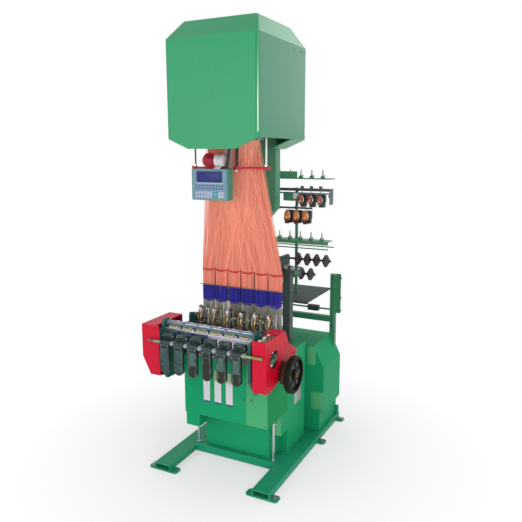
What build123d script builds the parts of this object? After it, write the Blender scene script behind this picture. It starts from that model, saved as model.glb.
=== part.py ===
from build123d import *
import math
import os

# Jacquard needle loom for narrow tapes, in millimetres.
# X runs along the front (positive to the operator's right), Y runs from the front to the back,
# Z is up. The origin is on the floor, at the centre of the four outer anchor holes.

# Base
RAIL_SPACING = 666.0
RAIL_WIDTH = 110.0
RAIL_HEIGHT = 36.0
RAIL_WALL = 6.0
RAIL_ROUND = 4.0
FOOT_PITCH = 1102.0
FOOT_LENGTH = 198.0
FOOT_DEPTH = 61.0
FOOT_THICK = 10.0
FOOT_ROUND = 12.0
FOOT_HOLE_R = 9.0
ANCHOR_SPAN = 820.0
MID_FOOT_Y = 181.0
CROSSBAR_FRONT = -293.0
CROSSBAR_DEPTH = 46.0
CROSSBAR_HEIGHT = 50.0
DECK_THICK = 6.0
REAR_STUB_DEPTH = 26.0
REAR_STUB_HEIGHT = 54.0

# Weaving units
UNITS = 6
UNIT_PITCH = 91.6
UNIT_MARGIN = 9.2

# Body
BODY_FRONT = -393.0
BODY_SPLIT = -105.0
BODY_BACK = 174.0
HOUSING_BOTTOM = 319.0
BODY_TOP = 690.0
GUARD_DROP = 85.0
GUARD_WIDTH = 95.0
SHEET_ROUND = 6.0
PEDESTAL_INSET = 59.0
SIDE_BOX_FRONT = -205.0
SIDE_BOX_BOTTOM = 193.0
DOOR_WIDTH = 288.0
DOOR_BOTTOM = 427.0
DOOR_TOP = 640.0
DOOR_THICK = 3.0
PROP_X = 266.0
PROP_Y = -270.0
PROP_R = 7.0
PROP_NUT_R = 12.0
PROP_NUT_HEIGHT = 10.0
TAPE_PITCH = 78.0
TAPE_MIDDLE = -42.0
TAPE_COUNT = 3
TAPE_WIDTH = 46.0
TAPE_THICK = 1.5
TAPE_LENGTH = 206.0
TAPE_BOTTOM = 417.0
TAPE_GAP = 0.3

# Rear housing
REAR_HALF = 387.0
REAR_TOP_HALF = 316.0
REAR_FRONT = 250.0
REAR_BACK = 578.0
REAR_TOP = 636.0
REAR_SHOULDER = 484.0
REAR_LOW_HALF = 362.0
REAR_LOW_Z = 180.0

# Rear frame
POST_INSET = 2.0
POST_WIDTH = 36.0
POST_DEPTH = 38.0
POST_Y = 551.0
POST_TOP = 1070.0
POST_STRIP_WIDTH = 30.0
POST_STRIP_DEPTH = 10.0
POST_STRIP_LOW = 790.0
RAIL_TOP_Z = 767.0
RAIL_BAR = 40.0
RAIL_BAR_ROUND = 3.0
TIE_ROD_Z = 814.0
TIE_ROD_R = 6.0
TERMINAL_X = 190.0
TERMINAL_LENGTH = 76.0
TERMINAL_SIDE = 34.0
TRAY_Z = 964.0
TRAY_SHEET = 4.0
TRAY_LIP = 14.0

# Side frames and end covers of the weaving section
FRAME_THICK = 16.0
FRAME_FRONT = -628.0
FRAME_BACK = -180.0
FRAME_TOP = 912.0
FRAME_BACK_DROP = 60.0
FRAME_BOTTOM = 590.0
FRAME_TOE = 70.0
FRAME_TOE_RISE = 100.0
EAR_HEIGHT = 46.0
EAR_HALF = 22.0
EAR_SLOPE = 15.0
COVER_LEAD = 12.0
COVER_RISE = 23.0
COVER_WALL = 5.0
COVER_WIDTH = 80.0
COVER_STANDOFF = 17.0
LEFT_COVER_LAP = 5.0
LEFT_COVER_GAP = 4.0
RIGHT_OUTLINE = [(0, 0), (240, 0), (293, -90), (402, -150), (394, -186), (325, -200), (163, -265)]
RIGHT_OUTLINE += [(40, -294), (0, -283)]
LEFT_OUTLINE = [(0, 0), (274, 0), (274, -255), (80, -323), (0, -295)]
LEFT_CORNER_WIDTH = 52.0
LEFT_CORNER_LOW = 295.0
LEFT_CORNER_HIGH = 190.0
NOTCH_DEPTH = 144.0
WINDOW_FROM_FRONT = 99.0
WINDOW_DROP = 123.0
WINDOW_SIZE = 96.0
WINDOW_CUT = 20.0
STUD_R = 8.0
RIGHT_STUDS = [(30, -50), (30, -245), (255, -85), (360, -165)]
LEFT_STUDS = [(40, -50), (240, -50), (40, -175), (240, -175)]
RATCHET_R = 40.0
RATCHET_TOOTH = 6.0
RATCHET_TEETH = 20
RATCHET_THICK = 12.0
RATCHET_HUB_R = 18.0

# Front beam and guide plate
BEAM_ROD_R = 10.0
BEAM_ROD_Y = -552.0
BEAM_BAR_R = 6.0
BEAM_BAR_SETBACK = 30.0
GUIDE_FRONT = -570.0
GUIDE_THICK = 6.0
GUIDE_DROP = 76.0
GUIDE_KNEE = 8.0
GUIDE_RISE = 26.0
GUIDE_SPREAD = 38.0
TAPE_GUIDE_WIDTH = 50.0
TAPE_GUIDE_HEIGHT = 5.0
RUNNING_FIT = 0.05

# Presser levers
LEVER_ROD_R = 8.0
LEVER_ROD_Y = -650.0
LEVER_ROD_DROP = 64.0
LEVER_ROD_OVERHANG = 62.0
LEVER_NUT_R = 13.0
LEVER_NUT_LENGTH = 14.0
ROD_BRACKET = 3.0
LEVER_WIDTH = 56.0
LEVER_THICK = 22.0
LEVER_REACH = 176.0
LEVER_HUB_R = 15.0
LEVER_RIM = 8.0
LEVER_RECESS = 5.0
LEVER_PAD_WIDTH = 30.0
LEVER_PAD_TOP = 30.0
LEVER_PAD_LENGTH = 70.0
LEVER_PAD_RISE = 3.0
HEAD_PAD_WIDTH = 76.0
HEAD_PAD_HEIGHT = 40.0
HEAD_PAD_DEPTH = 26.0
HEAD_PAD_SETBACK = 28.0
HEAD_PAD_RISE = 7.0
HEAD_PAD_CORNER = 7.0
HEAD_PAD_RIM = 9.0
HEAD_PAD_RECESS = 4.0

# Main shaft and handwheel
SHAFT_Y = -430.0
SHAFT_Z = 703.0
SHAFT_R = 9.0
SHAFT_CLEAR = 4.0
BOSS_R = 23.0
BOSS_LENGTH = 15.0
PULLEY_R = 66.0
PULLEY_WIDTH = 16.0
PULLEY_CLEAR = 6.0
PULLEY_GROOVE = 6.0
COLLAR_R = 27.0
COLLAR_WIDTH = 10.0
WHEEL_R = 105.0
WHEEL_WIDTH = 34.0
WHEEL_RIM = 18.0
WHEEL_WEB = 10.0
WHEEL_HUB_R = 28.0
WHEEL_CLEAR = 48.0
WHEEL_NUT_R = 11.0
WHEEL_NUT_LENGTH = 12.0

# Harness and weaving units
HARNESS_TOP_Y = -265.0
HARNESS_TOP_HALF = 168.0
HARNESS_TOP_Z = 1984.0
HARNESS_LOW_Y = -170.0
HARNESS_LOW_HALF = 270.0
HARNESS_FAN_Z = 1190.0
HARNESS_END_Z = 1085.0
HARNESS_THICK = 26.0
BUNDLE_WIDTH = 80.0
BLUE_END_Z = 990.0
BLUE_WIDTH = 86.0
BLUE_THICK = 34.0
BLUE_ROUND = 20.0
HEDDLE_TOP_WIDTH = 76.0
HEDDLE_LOW_WIDTH = 58.0
UNIT_WIDTH = 78.0
UNIT_FRONT_RISE = 70.0
UNIT_BACK_RISE = 120.0
UNIT_BACK = -200.0
REED_Y = -300.0
REED_WIDTH = 66.0
REED_HEIGHT = 96.0
REED_THICK = 6.0
REED_RIM = 7.0
REED_DENTS = 7
REED_DENT = 1.6
NEEDLE_R = 36.0
NEEDLE_WIRE = 5.0
NEEDLE_Y = -366.0
NEEDLE_TURN = 210.0
NEEDLE_OFFSET = 14.0
NEEDLE_POST = 10.0
HOOK_POST_R = 4.0
HOOK_POST_TOP = 968.0
HOOK_POST_Y = -230.0
HOOK_POST_OFFSET = 26.0
HOOK_BAR = 10.0
LEVER_PACK_WIDTH = 68.0
LEVER_PACK_FRONT = -268.0
LEVER_PACK_BACK = -240.0
LEVER_PACK_RISE = 92.0
LEVER_PACK_ROUND = 14.0

# Jacquard head
HEAD_HALF = 282.0
HEAD_FRONT = -498.0
HEAD_BACK = 140.0
HEAD_BOTTOM = 1918.0
HEAD_SKIRT = 57.0
HEAD_SKIRT_HALF = 147.0
HEAD_SKIRT_FRONT = -60.0
HEAD_SHOULDER = 2497.0
HEAD_TOP = 2600.0
HEAD_TOP_HALF = 228.0
HEAD_TOP_FRONT = -400.0
HEAD_TOP_BACK = 35.0
HEAD_WALL = 6.0
HEAD_ROUND = 18.0
CORE_HALF = 230.0
CORE_FRONT = -430.0
CORE_BACK = 60.0
CORE_TOP = 2420.0
BASE_PLATE = 12.0

# Column and posts
SPINE_HALF = 60.0
SPINE_TOP_HALF = 120.0
SPINE_FRONT = 60.0
SPINE_DEPTH = 65.0
SPINE_SHOULDER = 1560.0
SPINE_NECK = 1490.0
DARK_POST_X = 190.0
DARK_POST_WIDTH = 50.0
DARK_POST_FRONT = 75.0
DARK_POST_TOP = 1165.0
CROSS_THICK = 14.0

# Control panel and lamp
PANEL_X = -86.0
PANEL_FRONT = -380.0
PANEL_WIDTH = 235.0
PANEL_DEPTH = 60.0
PANEL_BOTTOM = 1632.0
PANEL_HEIGHT = 176.0
PANEL_ROUND = 5.0
SCREEN_WIDTH = 162.0
SCREEN_HEIGHT = 56.0
SCREEN_EDGE = 16.0
SCREEN_RECESS = 3.0
KEYS_WIDTH = 198.0
KEYS_HEIGHT = 92.0
KEYS_EDGE = 78.0
KEYS_RECESS = 1.5
HANGER_THICK = 6.0
HANGER_WIDTH = 50.0
HANGER_INSET = 4.0
LAMP_R = 44.0
LAMP_BODY_R = 35.0
LAMP_BODY = 74.0
LAMP_INSET = 30.0
LAMP_SETBACK = 24.0
LAMP_LIFT = 3.0
LAMP_FOOT_WIDTH = 40.0
LAMP_FOOT_INSET = 10.0
DOME_RIM = 34.0
DOME_LENGTH = 66.0
DOME_FACE_R = 22.0
CONDUIT_R = 8.0
CONDUIT_LEAN = 34.0
CONDUIT_INSET = 20.0

# Cord bar
CORD_BAR_Y = -295.0
CORD_BAR_Z = 1813.0
CORD_BAR_HALF = 250.0
CORD_BAR_R = 6.0
CORD_COLLAR_R = 11.0
CORD_COLLAR_LENGTH = 26.0
CORD_HANGER_X = 230.0
CORD_HANGER_R = 4.0
CORD_CLAMP = 20.0

# Creel
RACK_HALF = 400.0
RACK_Y = 300.0
RACK_DEPTH = 60.0
RACK_PLATE = 6.0
RACK_FLANGE = 24.0
TOP_RACK_Z = 1736.0
TOP_FLANGE_HALF = 172.0
TOP_FLANGE_HEIGHT = 43.0
LOW_RACK_Z = 1335.0
LOW_RACK_INSET = 10.0
PIN_COUNT = 10
PIN_PITCH = 75.0
PIN_R = 3.5
PIN_HEIGHT = 52.0
CLIP_WIDTH = 24.0
CLIP_DEPTH = 16.0
CLIP_HEIGHT = 14.0
TONGUE_HALF = 55.0
SPOOL_BAR_Z = 1671.0
SPOOL_BAR = 18.0
END_PLATE_DROP = 100.0
END_PLATE_DEPTH = 56.0
KNOB_R = 9.0
KNOB_HEIGHT = 13.0
FEEDER_BAR_Z = 1548.0
FEEDER_BAR_HALF = 268.0
FEEDER_BAR = 12.0
FEEDER_HIGH_Z = 1600.0
FEEDER_LOW_Z = 1492.0
FEEDER_HIGH_X = 197.0
FEEDER_LOW_X = 102.0
FEEDER_PITCH = 64.0
FEEDER_ROW = 3
FEEDER_R = 30.0
FEEDER_DRUM_R = 25.0
FEEDER_FLANGE = 12.0
FEEDER_LENGTH = 82.0
FEEDER_STEM_R = 5.0
FEEDER_CASE = 44.0
FEEDER_CASE_DEPTH = 42.0
FEEDER_CASE_DROP = 52.0
FEEDER_CASE_RISE = 34.0
DRUM_SIDES = 16
PIN_SIDES = 8
NUT_SIDES = 6
GUIDE_HIGH_Z = 1288.0
GUIDE_LOW_Z = 1268.0
GUIDE_LOW_INSET = 40.0
GUIDE_R = 4.0
FEED_HIGH_Z = 1205.0
FEED_LOW_Z = 1108.0
FEED_SHAFT_R = 7.0
FEED_ROLL_R = 42.0
FEED_ROLL_RIM = 8.0
FEED_ROLL_HALF = 22.0
FEED_ROLL_HUB_R = 15.0
FEED_HIGH_FIRST = 174.0
FEED_HIGH_ROLLS = 4
FEED_LOW_FIRST = 133.0
FEED_LOW_ROLLS = 3
FEED_PITCH = 65.0
FEED_SHAFT_END = 34.0
CHEEK_X = 96.0
CHEEK_THICK = 12.0
CHEEK_EDGE = 26.0
CREEL_POST_X = 135.0
CREEL_POST_SIDE = 16.0
CREEL_POST_FRONT = 352.0

os.makedirs("parts", exist_ok=True)

# Places worked out from the sizes above
RAIL_BASE = FOOT_THICK
RAIL_TOP = RAIL_BASE + RAIL_HEIGHT
RAIL_X = RAIL_SPACING / 2
FOOT_Y = FOOT_PITCH / 2
PEDESTAL_FRONT = CROSSBAR_FRONT + CROSSBAR_DEPTH
BODY_HALF = UNITS * UNIT_PITCH / 2 + UNIT_MARGIN
DOOR_FACE = BODY_FRONT - DOOR_THICK
LEFT_FRAME_X = -BODY_HALF - FRAME_THICK
RIGHT_FRAME_OUT = BODY_HALF + FRAME_THICK
COVER_FRONT = FRAME_FRONT - COVER_LEAD
COVER_TOP = FRAME_TOP + COVER_RISE
COVER_INNER = RIGHT_FRAME_OUT + COVER_STANDOFF
COVER_OUTER = COVER_INNER + COVER_WIDTH
BEAM_ROD_Z = FRAME_TOP + EAR_HEIGHT - 2 * BEAM_ROD_R
GUIDE_LOW = FRAME_TOP - GUIDE_DROP
GUIDE_BEND = FRAME_TOP - GUIDE_KNEE
LEVER_ROD_Z = FRAME_TOP - LEVER_ROD_DROP
LEVER_END_Z = LEVER_ROD_Z - LEVER_REACH
HEAD_FLOOR = HEAD_BOTTOM + HEAD_SKIRT
SPINE_BACK = SPINE_FRONT + SPINE_DEPTH
POST_INNER = REAR_TOP_HALF + POST_INSET
POST_OUTER = POST_INNER + POST_WIDTH
PANEL_TOP = PANEL_BOTTOM + PANEL_HEIGHT
PANEL_BACK = PANEL_FRONT + PANEL_DEPTH
PANEL_RIGHT = PANEL_X + PANEL_WIDTH / 2
LAMP_Y = PANEL_FRONT + LAMP_SETBACK
LAMP_Z = PANEL_TOP + LAMP_R + LAMP_LIFT
LAMP_RIGHT = PANEL_RIGHT - LAMP_INSET
CABLE_X = PANEL_RIGHT - CONDUIT_INSET + CONDUIT_LEAN
RACK_FRONT = RACK_Y - RACK_DEPTH / 2


def block(x0, x1, y0, y1, z0, z1):
    """A rectangular solid between two corners."""
    size = Box(x1 - x0, y1 - y0, z1 - z0)
    return Pos((x0 + x1) / 2, (y0 + y1) / 2, (z0 + z1) / 2) * size


def rod_x(x0, x1, y, z, radius):
    """A round bar along X."""
    return Pos((x0 + x1) / 2, y, z) * Rot(0, 90, 0) * Cylinder(radius, x1 - x0)


def rod_z(x, y, z0, z1, radius):
    """An upright round bar."""
    return Pos(x, y, (z0 + z1) / 2) * Cylinder(radius, z1 - z0)


def side_face(points):
    """A face whose outline is given in (Y, Z), at X = 0."""
    return Plane.YZ * make_face(Polyline(*points, close=True))


def side_plate(points, x0, x1):
    """A plate whose outline is given in (Y, Z), between two X values."""
    return Pos(x0, 0, 0) * extrude(side_face(points), amount=x1 - x0)


def front_plate(points, y0, y1):
    """A plate whose outline is given in (X, Z), between two Y values."""
    face = Plane.XZ.offset(-y1) * make_face(Polyline(*points, close=True))
    return extrude(face, amount=y1 - y0)


def turned(points, x, y, z):
    """A solid turned about an X axis, from points given as (X, radius) away from (x, y, z)."""
    first = points[0][0]
    last = points[-1][0]
    profile = Polyline((first, 0), *points, (last, 0), close=True)
    return Pos(x, y, z) * revolve(make_face(profile), axis=Axis.X)


def sided(radius, sides, z0, z1):
    """An upright bar with flat sides, for small round forms that repeat."""
    face = Pos(0, 0, z0) * RegularPolygon(radius, sides)
    return extrude(face, amount=z1 - z0)


def drum(points):
    """A many-sided solid about Z, from (height, radius) points with flat sides between them."""
    angles = [math.tau * i / DRUM_SIDES for i in range(DRUM_SIDES)]
    rings = [[(radius * math.cos(a), radius * math.sin(a), z) for a in angles] for z, radius in points]
    outlines = [rings[0], rings[-1]]
    for low, high in zip(rings, rings[1:]):
        for i in range(DRUM_SIDES):
            outlines.append([low[i - 1], low[i], high[i], high[i - 1]])
    return Solid(Shell([Face(Wire.make_polygon(outline)) for outline in outlines]))


def unit_xs():
    """The X of each weaving unit's centre, from left to right."""
    return [UNIT_PITCH * (i - (UNITS - 1) / 2) for i in range(UNITS)]


def save(shape, name):
    """Write one piece to its STEP file."""
    export_step(shape, f"parts/{name}.step")


def base_rail(side):
    """One long rail of the base: a channel open below, with its outer top edge rounded."""
    x0 = side * RAIL_X - RAIL_WIDTH / 2
    end = FOOT_Y + FOOT_DEPTH / 2
    rail = block(x0, x0 + RAIL_WIDTH, -end, end, RAIL_BASE, RAIL_TOP)
    top_edges = rail.edges().filter_by(Axis.Y).group_by(Axis.Z)[-1].sort_by(Axis.X)
    outer = top_edges[-1] if side > 0 else top_edges[0]
    rail = fillet(outer, RAIL_ROUND)
    x1 = x0 + RAIL_WALL
    x2 = x0 + RAIL_WIDTH - RAIL_WALL
    return rail - block(x1, x2, -end - 1, end + 1, RAIL_BASE - 1, RAIL_TOP - RAIL_WALL)


def foot_plate(side, y):
    """A foot plate under a rail, with an anchor hole in each ear."""
    x = side * RAIL_X
    half = FOOT_DEPTH / 2
    plate = block(x - FOOT_LENGTH / 2, x + FOOT_LENGTH / 2, y - half, y + half, 0, FOOT_THICK)
    plate = chamfer(plate.edges().filter_by(Axis.Z), FOOT_ROUND)
    for ear in (-1, 1):
        hole_x = x + ear * (ANCHOR_SPAN / 2 - RAIL_X)
        plate -= rod_z(hole_x, y, -1, FOOT_THICK + 1, FOOT_HOLE_R)
    return plate


def base_frame():
    """The welded base: two rails on six foot plates, a front crossbar, a deck and the rear stubs."""
    half = RAIL_X - RAIL_WIDTH / 2
    back = CROSSBAR_FRONT + CROSSBAR_DEPTH
    bar = block(-half, half, CROSSBAR_FRONT, back, RAIL_BASE, RAIL_BASE + CROSSBAR_HEIGHT)
    front_edges = bar.edges().filter_by(Axis.X).group_by(Axis.Y)[0]
    frame = fillet(front_edges, RAIL_ROUND)
    frame += block(-half, half, back, REAR_BACK, RAIL_TOP - DECK_THICK, RAIL_TOP)
    end = FOOT_Y + FOOT_DEPTH / 2
    outer = RAIL_X + RAIL_WIDTH / 2 - RAIL_ROUND
    for side in (-1, 1):
        frame += base_rail(side)
        inside = min(side * REAR_LOW_HALF, side * outer)
        outside = max(side * REAR_LOW_HALF, side * outer)
        frame += block(inside, outside, end - REAR_STUB_DEPTH, end, RAIL_TOP, RAIL_TOP + REAR_STUB_HEIGHT)
        for y in (-FOOT_Y, MID_FOOT_Y, FOOT_Y):
            frame += foot_plate(side, y)
    return frame


def pedestal():
    """The pedestal under the front housing, with the switch box at its right."""
    half = BODY_HALF - PEDESTAL_INSET
    body = block(-half, half, PEDESTAL_FRONT, BODY_SPLIT, RAIL_TOP, HOUSING_BOTTOM)
    body = fillet(body.edges().filter_by(Axis.Z).group_by(Axis.Y)[0], SHEET_ROUND)
    return body + block(half, BODY_HALF, SIDE_BOX_FRONT, BODY_SPLIT, SIDE_BOX_BOTTOM, HOUSING_BOTTOM)


def prop_rods():
    """The two bright props between the crossbar and the front housing."""
    props = []
    low = RAIL_BASE + CROSSBAR_HEIGHT
    for side in (-1, 1):
        rod = rod_z(side * PROP_X, PROP_Y, low, HOUSING_BOTTOM, PROP_R)
        nut = Pos(side * PROP_X, PROP_Y, 0) * sided(PROP_NUT_R, NUT_SIDES, low, low + PROP_NUT_HEIGHT)
        props.append(rod + nut)
    return Compound(props)


def main_cabinet():
    body = block(-BODY_HALF, BODY_HALF, BODY_SPLIT, BODY_BACK, RAIL_TOP, BODY_TOP)
    return fillet(body.edges().filter_by(Axis.Z).group_by(Axis.Y)[-1], SHEET_ROUND)


def front_housing():
    """The front housing, with the guard that drops at its left."""
    body = block(-BODY_HALF, BODY_HALF, BODY_FRONT, BODY_SPLIT, HOUSING_BOTTOM, BODY_TOP)
    body = fillet(body.edges().filter_by(Axis.Z).group_by(Axis.Y)[0], SHEET_ROUND)
    low = HOUSING_BOTTOM - GUARD_DROP
    back = CROSSBAR_FRONT - SHEET_ROUND
    edge = -BODY_HALF + SHEET_ROUND
    return body + block(edge, edge + GUARD_WIDTH, BODY_FRONT + SHEET_ROUND, back, low, HOUSING_BOTTOM)


def front_door():
    half = DOOR_WIDTH / 2
    door = block(-half, half, DOOR_FACE, BODY_FRONT, DOOR_BOTTOM, DOOR_TOP)
    return fillet(door.edges().filter_by(Axis.Y), SHEET_ROUND)


def woven_tapes():
    """The finished tapes that hang in front of the door."""
    tapes = []
    back = DOOR_FACE - TAPE_GAP
    for i in range(TAPE_COUNT):
        x0 = TAPE_MIDDLE + TAPE_PITCH * (i - (TAPE_COUNT - 1) / 2) - TAPE_WIDTH / 2
        tape = block(x0, x0 + TAPE_WIDTH, back - TAPE_THICK, back, TAPE_BOTTOM, TAPE_BOTTOM + TAPE_LENGTH)
        tapes.append(tape)
    return Compound(tapes)


def rear_housing():
    """The rear housing, with its sloped shoulders and the step above the rails."""
    right = [
        (REAR_LOW_HALF, RAIL_TOP),
        (REAR_LOW_HALF, REAR_LOW_Z),
        (REAR_HALF, REAR_LOW_Z),
        (REAR_HALF, REAR_SHOULDER),
        (REAR_TOP_HALF, REAR_TOP),
    ]
    left = [(-x, z) for x, z in reversed(right)]
    return front_plate(right + left, REAR_FRONT, REAR_BACK)


def shoulder_z(x):
    """The height of the rear housing's sloped shoulder at a distance x from the middle."""
    share = (x - REAR_TOP_HALF) / (REAR_HALF - REAR_TOP_HALF)
    return REAR_TOP - share * (REAR_TOP - REAR_SHOULDER)


def rear_posts():
    """The rear posts on the sloped shoulders, each with its flat outer strip."""
    posts = []
    points = [(POST_INNER, shoulder_z(POST_INNER)), (POST_OUTER, shoulder_z(POST_OUTER))]
    points += [(POST_OUTER, POST_TOP), (POST_INNER, POST_TOP)]
    back = POST_Y + POST_DEPTH / 2
    far = POST_OUTER + POST_STRIP_WIDTH
    for side in (-1, 1):
        outline = [(side * x, z) for x, z in points]
        post = front_plate(outline, POST_Y - POST_DEPTH / 2, back)
        x0 = min(side * POST_OUTER, side * far)
        x1 = max(side * POST_OUTER, side * far)
        posts.append(post + block(x0, x1, back - POST_STRIP_DEPTH, back, POST_STRIP_LOW, POST_TOP))
    return Compound(posts)


def rear_rails():
    """The rail between the rear posts, and the tie rod with its terminal blocks above it."""
    y0 = POST_Y - RAIL_BAR / 2
    bar = block(-POST_INNER, POST_INNER, y0, y0 + RAIL_BAR, RAIL_TOP_Z - RAIL_BAR, RAIL_TOP_Z)
    bar = fillet(bar.edges().filter_by(Axis.X), RAIL_BAR_ROUND)
    rod = rod_x(-POST_INNER, POST_INNER, POST_Y, TIE_ROD_Z, TIE_ROD_R)
    for x in (-TERMINAL_X, TERMINAL_X):
        rod += Pos(x, POST_Y, TIE_ROD_Z) * Box(TERMINAL_LENGTH, TERMINAL_SIDE, TERMINAL_SIDE)
    return Compound([bar, rod])


def tray():
    """The sheet-metal tray between the column and the rear posts, with a lip at its front."""
    back = POST_Y + POST_DEPTH / 2
    lip = SPINE_BACK + TRAY_SHEET
    sheet = block(-POST_INNER, POST_INNER, SPINE_BACK, back, TRAY_Z - TRAY_SHEET, TRAY_Z)
    return sheet + block(-POST_INNER, POST_INNER, SPINE_BACK, lip, TRAY_Z - TRAY_LIP, TRAY_Z)


def from_cover_corner(outline):
    """An outline in (Y, Z) from points given away from the covers' top front corner."""
    return [(COVER_FRONT + y, COVER_TOP + z) for y, z in outline]


def cover_body(outline, x0, x1, inset):
    """A cover's outer form, or its inside where it has an inset."""
    face = side_face(from_cover_corner(outline))
    if inset:
        face = offset(face, amount=-inset, kind=Kind.INTERSECTION)
    return Pos(x0, 0, 0) * extrude(face, amount=x1 - x0)


def window():
    """The tool that cuts the right cover's window, a square with cut corners."""
    y = COVER_FRONT + WINDOW_FROM_FRONT
    z = COVER_TOP - WINDOW_DROP
    half = WINDOW_SIZE / 2
    near = half - WINDOW_CUT
    corners = [(-near, half), (near, half), (half, near), (half, -near)]
    corners += [(-dy, -dz) for dy, dz in corners]
    points = [(y + dy, z + dz) for dy, dz in corners]
    return side_plate(points, COVER_OUTER - COVER_WALL - 1, COVER_OUTER + 1)


def right_cover():
    """The right end cover: a shell open to the frame, with a window and an open top at the front."""
    wall = COVER_OUTER - COVER_WALL
    shell = cover_body(RIGHT_OUTLINE, COVER_INNER, COVER_OUTER, 0)
    shell -= cover_body(RIGHT_OUTLINE, COVER_INNER - 1, wall, COVER_WALL)
    front = COVER_FRONT + COVER_WALL
    low = COVER_TOP - 2 * COVER_WALL
    shell -= block(COVER_INNER - 1, wall, front, COVER_FRONT + NOTCH_DEPTH, low, COVER_TOP + 1)
    shell -= window()
    return shell - rod_x(COVER_INNER - 1, COVER_OUTER + 1, SHAFT_Y, SHAFT_Z, SHAFT_R + SHAFT_CLEAR)


def left_front(inset):
    """The left cover's front outline in (X, Z), with its cut outer corner."""
    outer = -COVER_OUTER + inset
    corner = -COVER_OUTER + LEFT_CORNER_WIDTH + inset
    inner = LEFT_FRAME_X + FRAME_THICK + LEFT_COVER_LAP
    low = COVER_TOP - LEFT_CORNER_LOW + inset
    high = COVER_TOP - LEFT_CORNER_HIGH + inset
    bottom = low - FRAME_BOTTOM
    points = [(outer, COVER_TOP), (inner, COVER_TOP), (inner, bottom)]
    return points + [(corner, bottom), (corner, low), (outer, high)]


def left_cover():
    """The left end cover: a shell that stops just short of the frame, its front lapping the frame."""
    inner = LEFT_FRAME_X + FRAME_THICK + LEFT_COVER_LAP
    back = FRAME_BACK
    shell = cover_body(LEFT_OUTLINE, -COVER_OUTER, inner, 0) & front_plate(left_front(0), COVER_FRONT, back)
    cavity = cover_body(LEFT_OUTLINE, -COVER_OUTER, inner, COVER_WALL)
    shell -= cavity & front_plate(left_front(COVER_WALL), COVER_FRONT, back)
    stop = LEFT_FRAME_X - LEFT_COVER_GAP
    return shell - block(stop, inner + 1, COVER_FRONT + COVER_WALL, back, 0, COVER_TOP + 1)


def side_frame(x0):
    """A side frame of the weaving section, standing on the body, with an ear for the beam rods."""
    points = [
        (FRAME_FRONT, FRAME_TOP - GUIDE_KNEE),
        (BEAM_ROD_Y - EAR_HALF - EAR_SLOPE, FRAME_TOP),
        (BEAM_ROD_Y - EAR_HALF, FRAME_TOP + EAR_HEIGHT),
        (BEAM_ROD_Y + EAR_HALF, FRAME_TOP + EAR_HEIGHT),
        (BEAM_ROD_Y + EAR_HALF + EAR_SLOPE, FRAME_TOP),
        (FRAME_BACK, FRAME_TOP - FRAME_BACK_DROP),
        (FRAME_BACK, FRAME_BOTTOM),
        (BODY_FRONT, FRAME_BOTTOM),
        (FRAME_FRONT + FRAME_TOE, FRAME_BOTTOM + GUIDE_KNEE),
        (FRAME_FRONT, FRAME_BOTTOM + FRAME_TOE_RISE),
    ]
    return side_plate(points, x0, x0 + FRAME_THICK)


def ratchet(x0):
    """The toothed wheel that shows through the right cover's window."""
    y = COVER_FRONT + WINDOW_FROM_FRONT
    z = COVER_TOP - WINDOW_DROP
    points = []
    for i in range(2 * RATCHET_TEETH):
        angle = math.pi * i / RATCHET_TEETH
        radius = RATCHET_R - RATCHET_TOOTH * (i % 2)
        points.append((y + radius * math.cos(angle), z + radius * math.sin(angle)))
    start = x0 + COVER_STANDOFF
    wheel = side_plate(points, start, start + RATCHET_THICK)
    return wheel + rod_x(x0, start + 2 * RATCHET_THICK, y, z, RATCHET_HUB_R)


def left_side_frame():
    """The left frame, with the studs that carry the left cover."""
    frame = side_frame(LEFT_FRAME_X)
    for y, z in from_cover_corner(LEFT_STUDS):
        frame += rod_x(COVER_WALL - COVER_OUTER, LEFT_FRAME_X, y, z, STUD_R)
    return frame


def right_side_frame():
    """The right frame, with the cover's studs, the shaft's bearing boss and the toothed wheel."""
    frame = side_frame(BODY_HALF)
    for y, z in from_cover_corner(RIGHT_STUDS):
        frame += rod_x(RIGHT_FRAME_OUT, COVER_OUTER - COVER_WALL, y, z, STUD_R)
    frame += ratchet(RIGHT_FRAME_OUT)
    end = RIGHT_FRAME_OUT + BOSS_LENGTH
    frame += rod_x(RIGHT_FRAME_OUT, end, SHAFT_Y, SHAFT_Z, BOSS_R)
    return frame - rod_x(BODY_HALF - 1, end + 1, SHAFT_Y, SHAFT_Z, SHAFT_R + RUNNING_FIT)


def beam_rods():
    """The two rods of the front beam, held between the side frames."""
    upper = rod_x(-BODY_HALF, BODY_HALF, BEAM_ROD_Y, BEAM_ROD_Z, BEAM_ROD_R)
    low_y = GUIDE_FRONT + BEAM_BAR_SETBACK
    lower = rod_x(-BODY_HALF, BODY_HALF, low_y, GUIDE_BEND - GUIDE_RISE, BEAM_BAR_R)
    return Compound([upper, lower])


def breast_plate():
    """The guide plate below the beam: an upright flange, a slope and a tape guide for each unit."""
    top_y = GUIDE_FRONT + GUIDE_SPREAD
    top_z = GUIDE_BEND + GUIDE_RISE
    points = [
        (GUIDE_FRONT, GUIDE_LOW),
        (GUIDE_FRONT + GUIDE_THICK, GUIDE_LOW),
        (GUIDE_FRONT + GUIDE_THICK, GUIDE_BEND - GUIDE_THICK),
        (top_y, top_z - GUIDE_THICK),
        (top_y, top_z),
        (GUIDE_FRONT, GUIDE_BEND),
    ]
    plate = side_plate(points, -BODY_HALF, BODY_HALF)
    edge = [(GUIDE_FRONT + GUIDE_THICK, GUIDE_BEND), (top_y - GUIDE_THICK, top_z - GUIDE_THICK)]
    edge += [(y, z + TAPE_GUIDE_HEIGHT + GUIDE_THICK) for y, z in reversed(edge)]
    for x in unit_xs():
        plate += side_plate(edge, x - TAPE_GUIDE_WIDTH / 2, x + TAPE_GUIDE_WIDTH / 2)
    return plate


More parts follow.
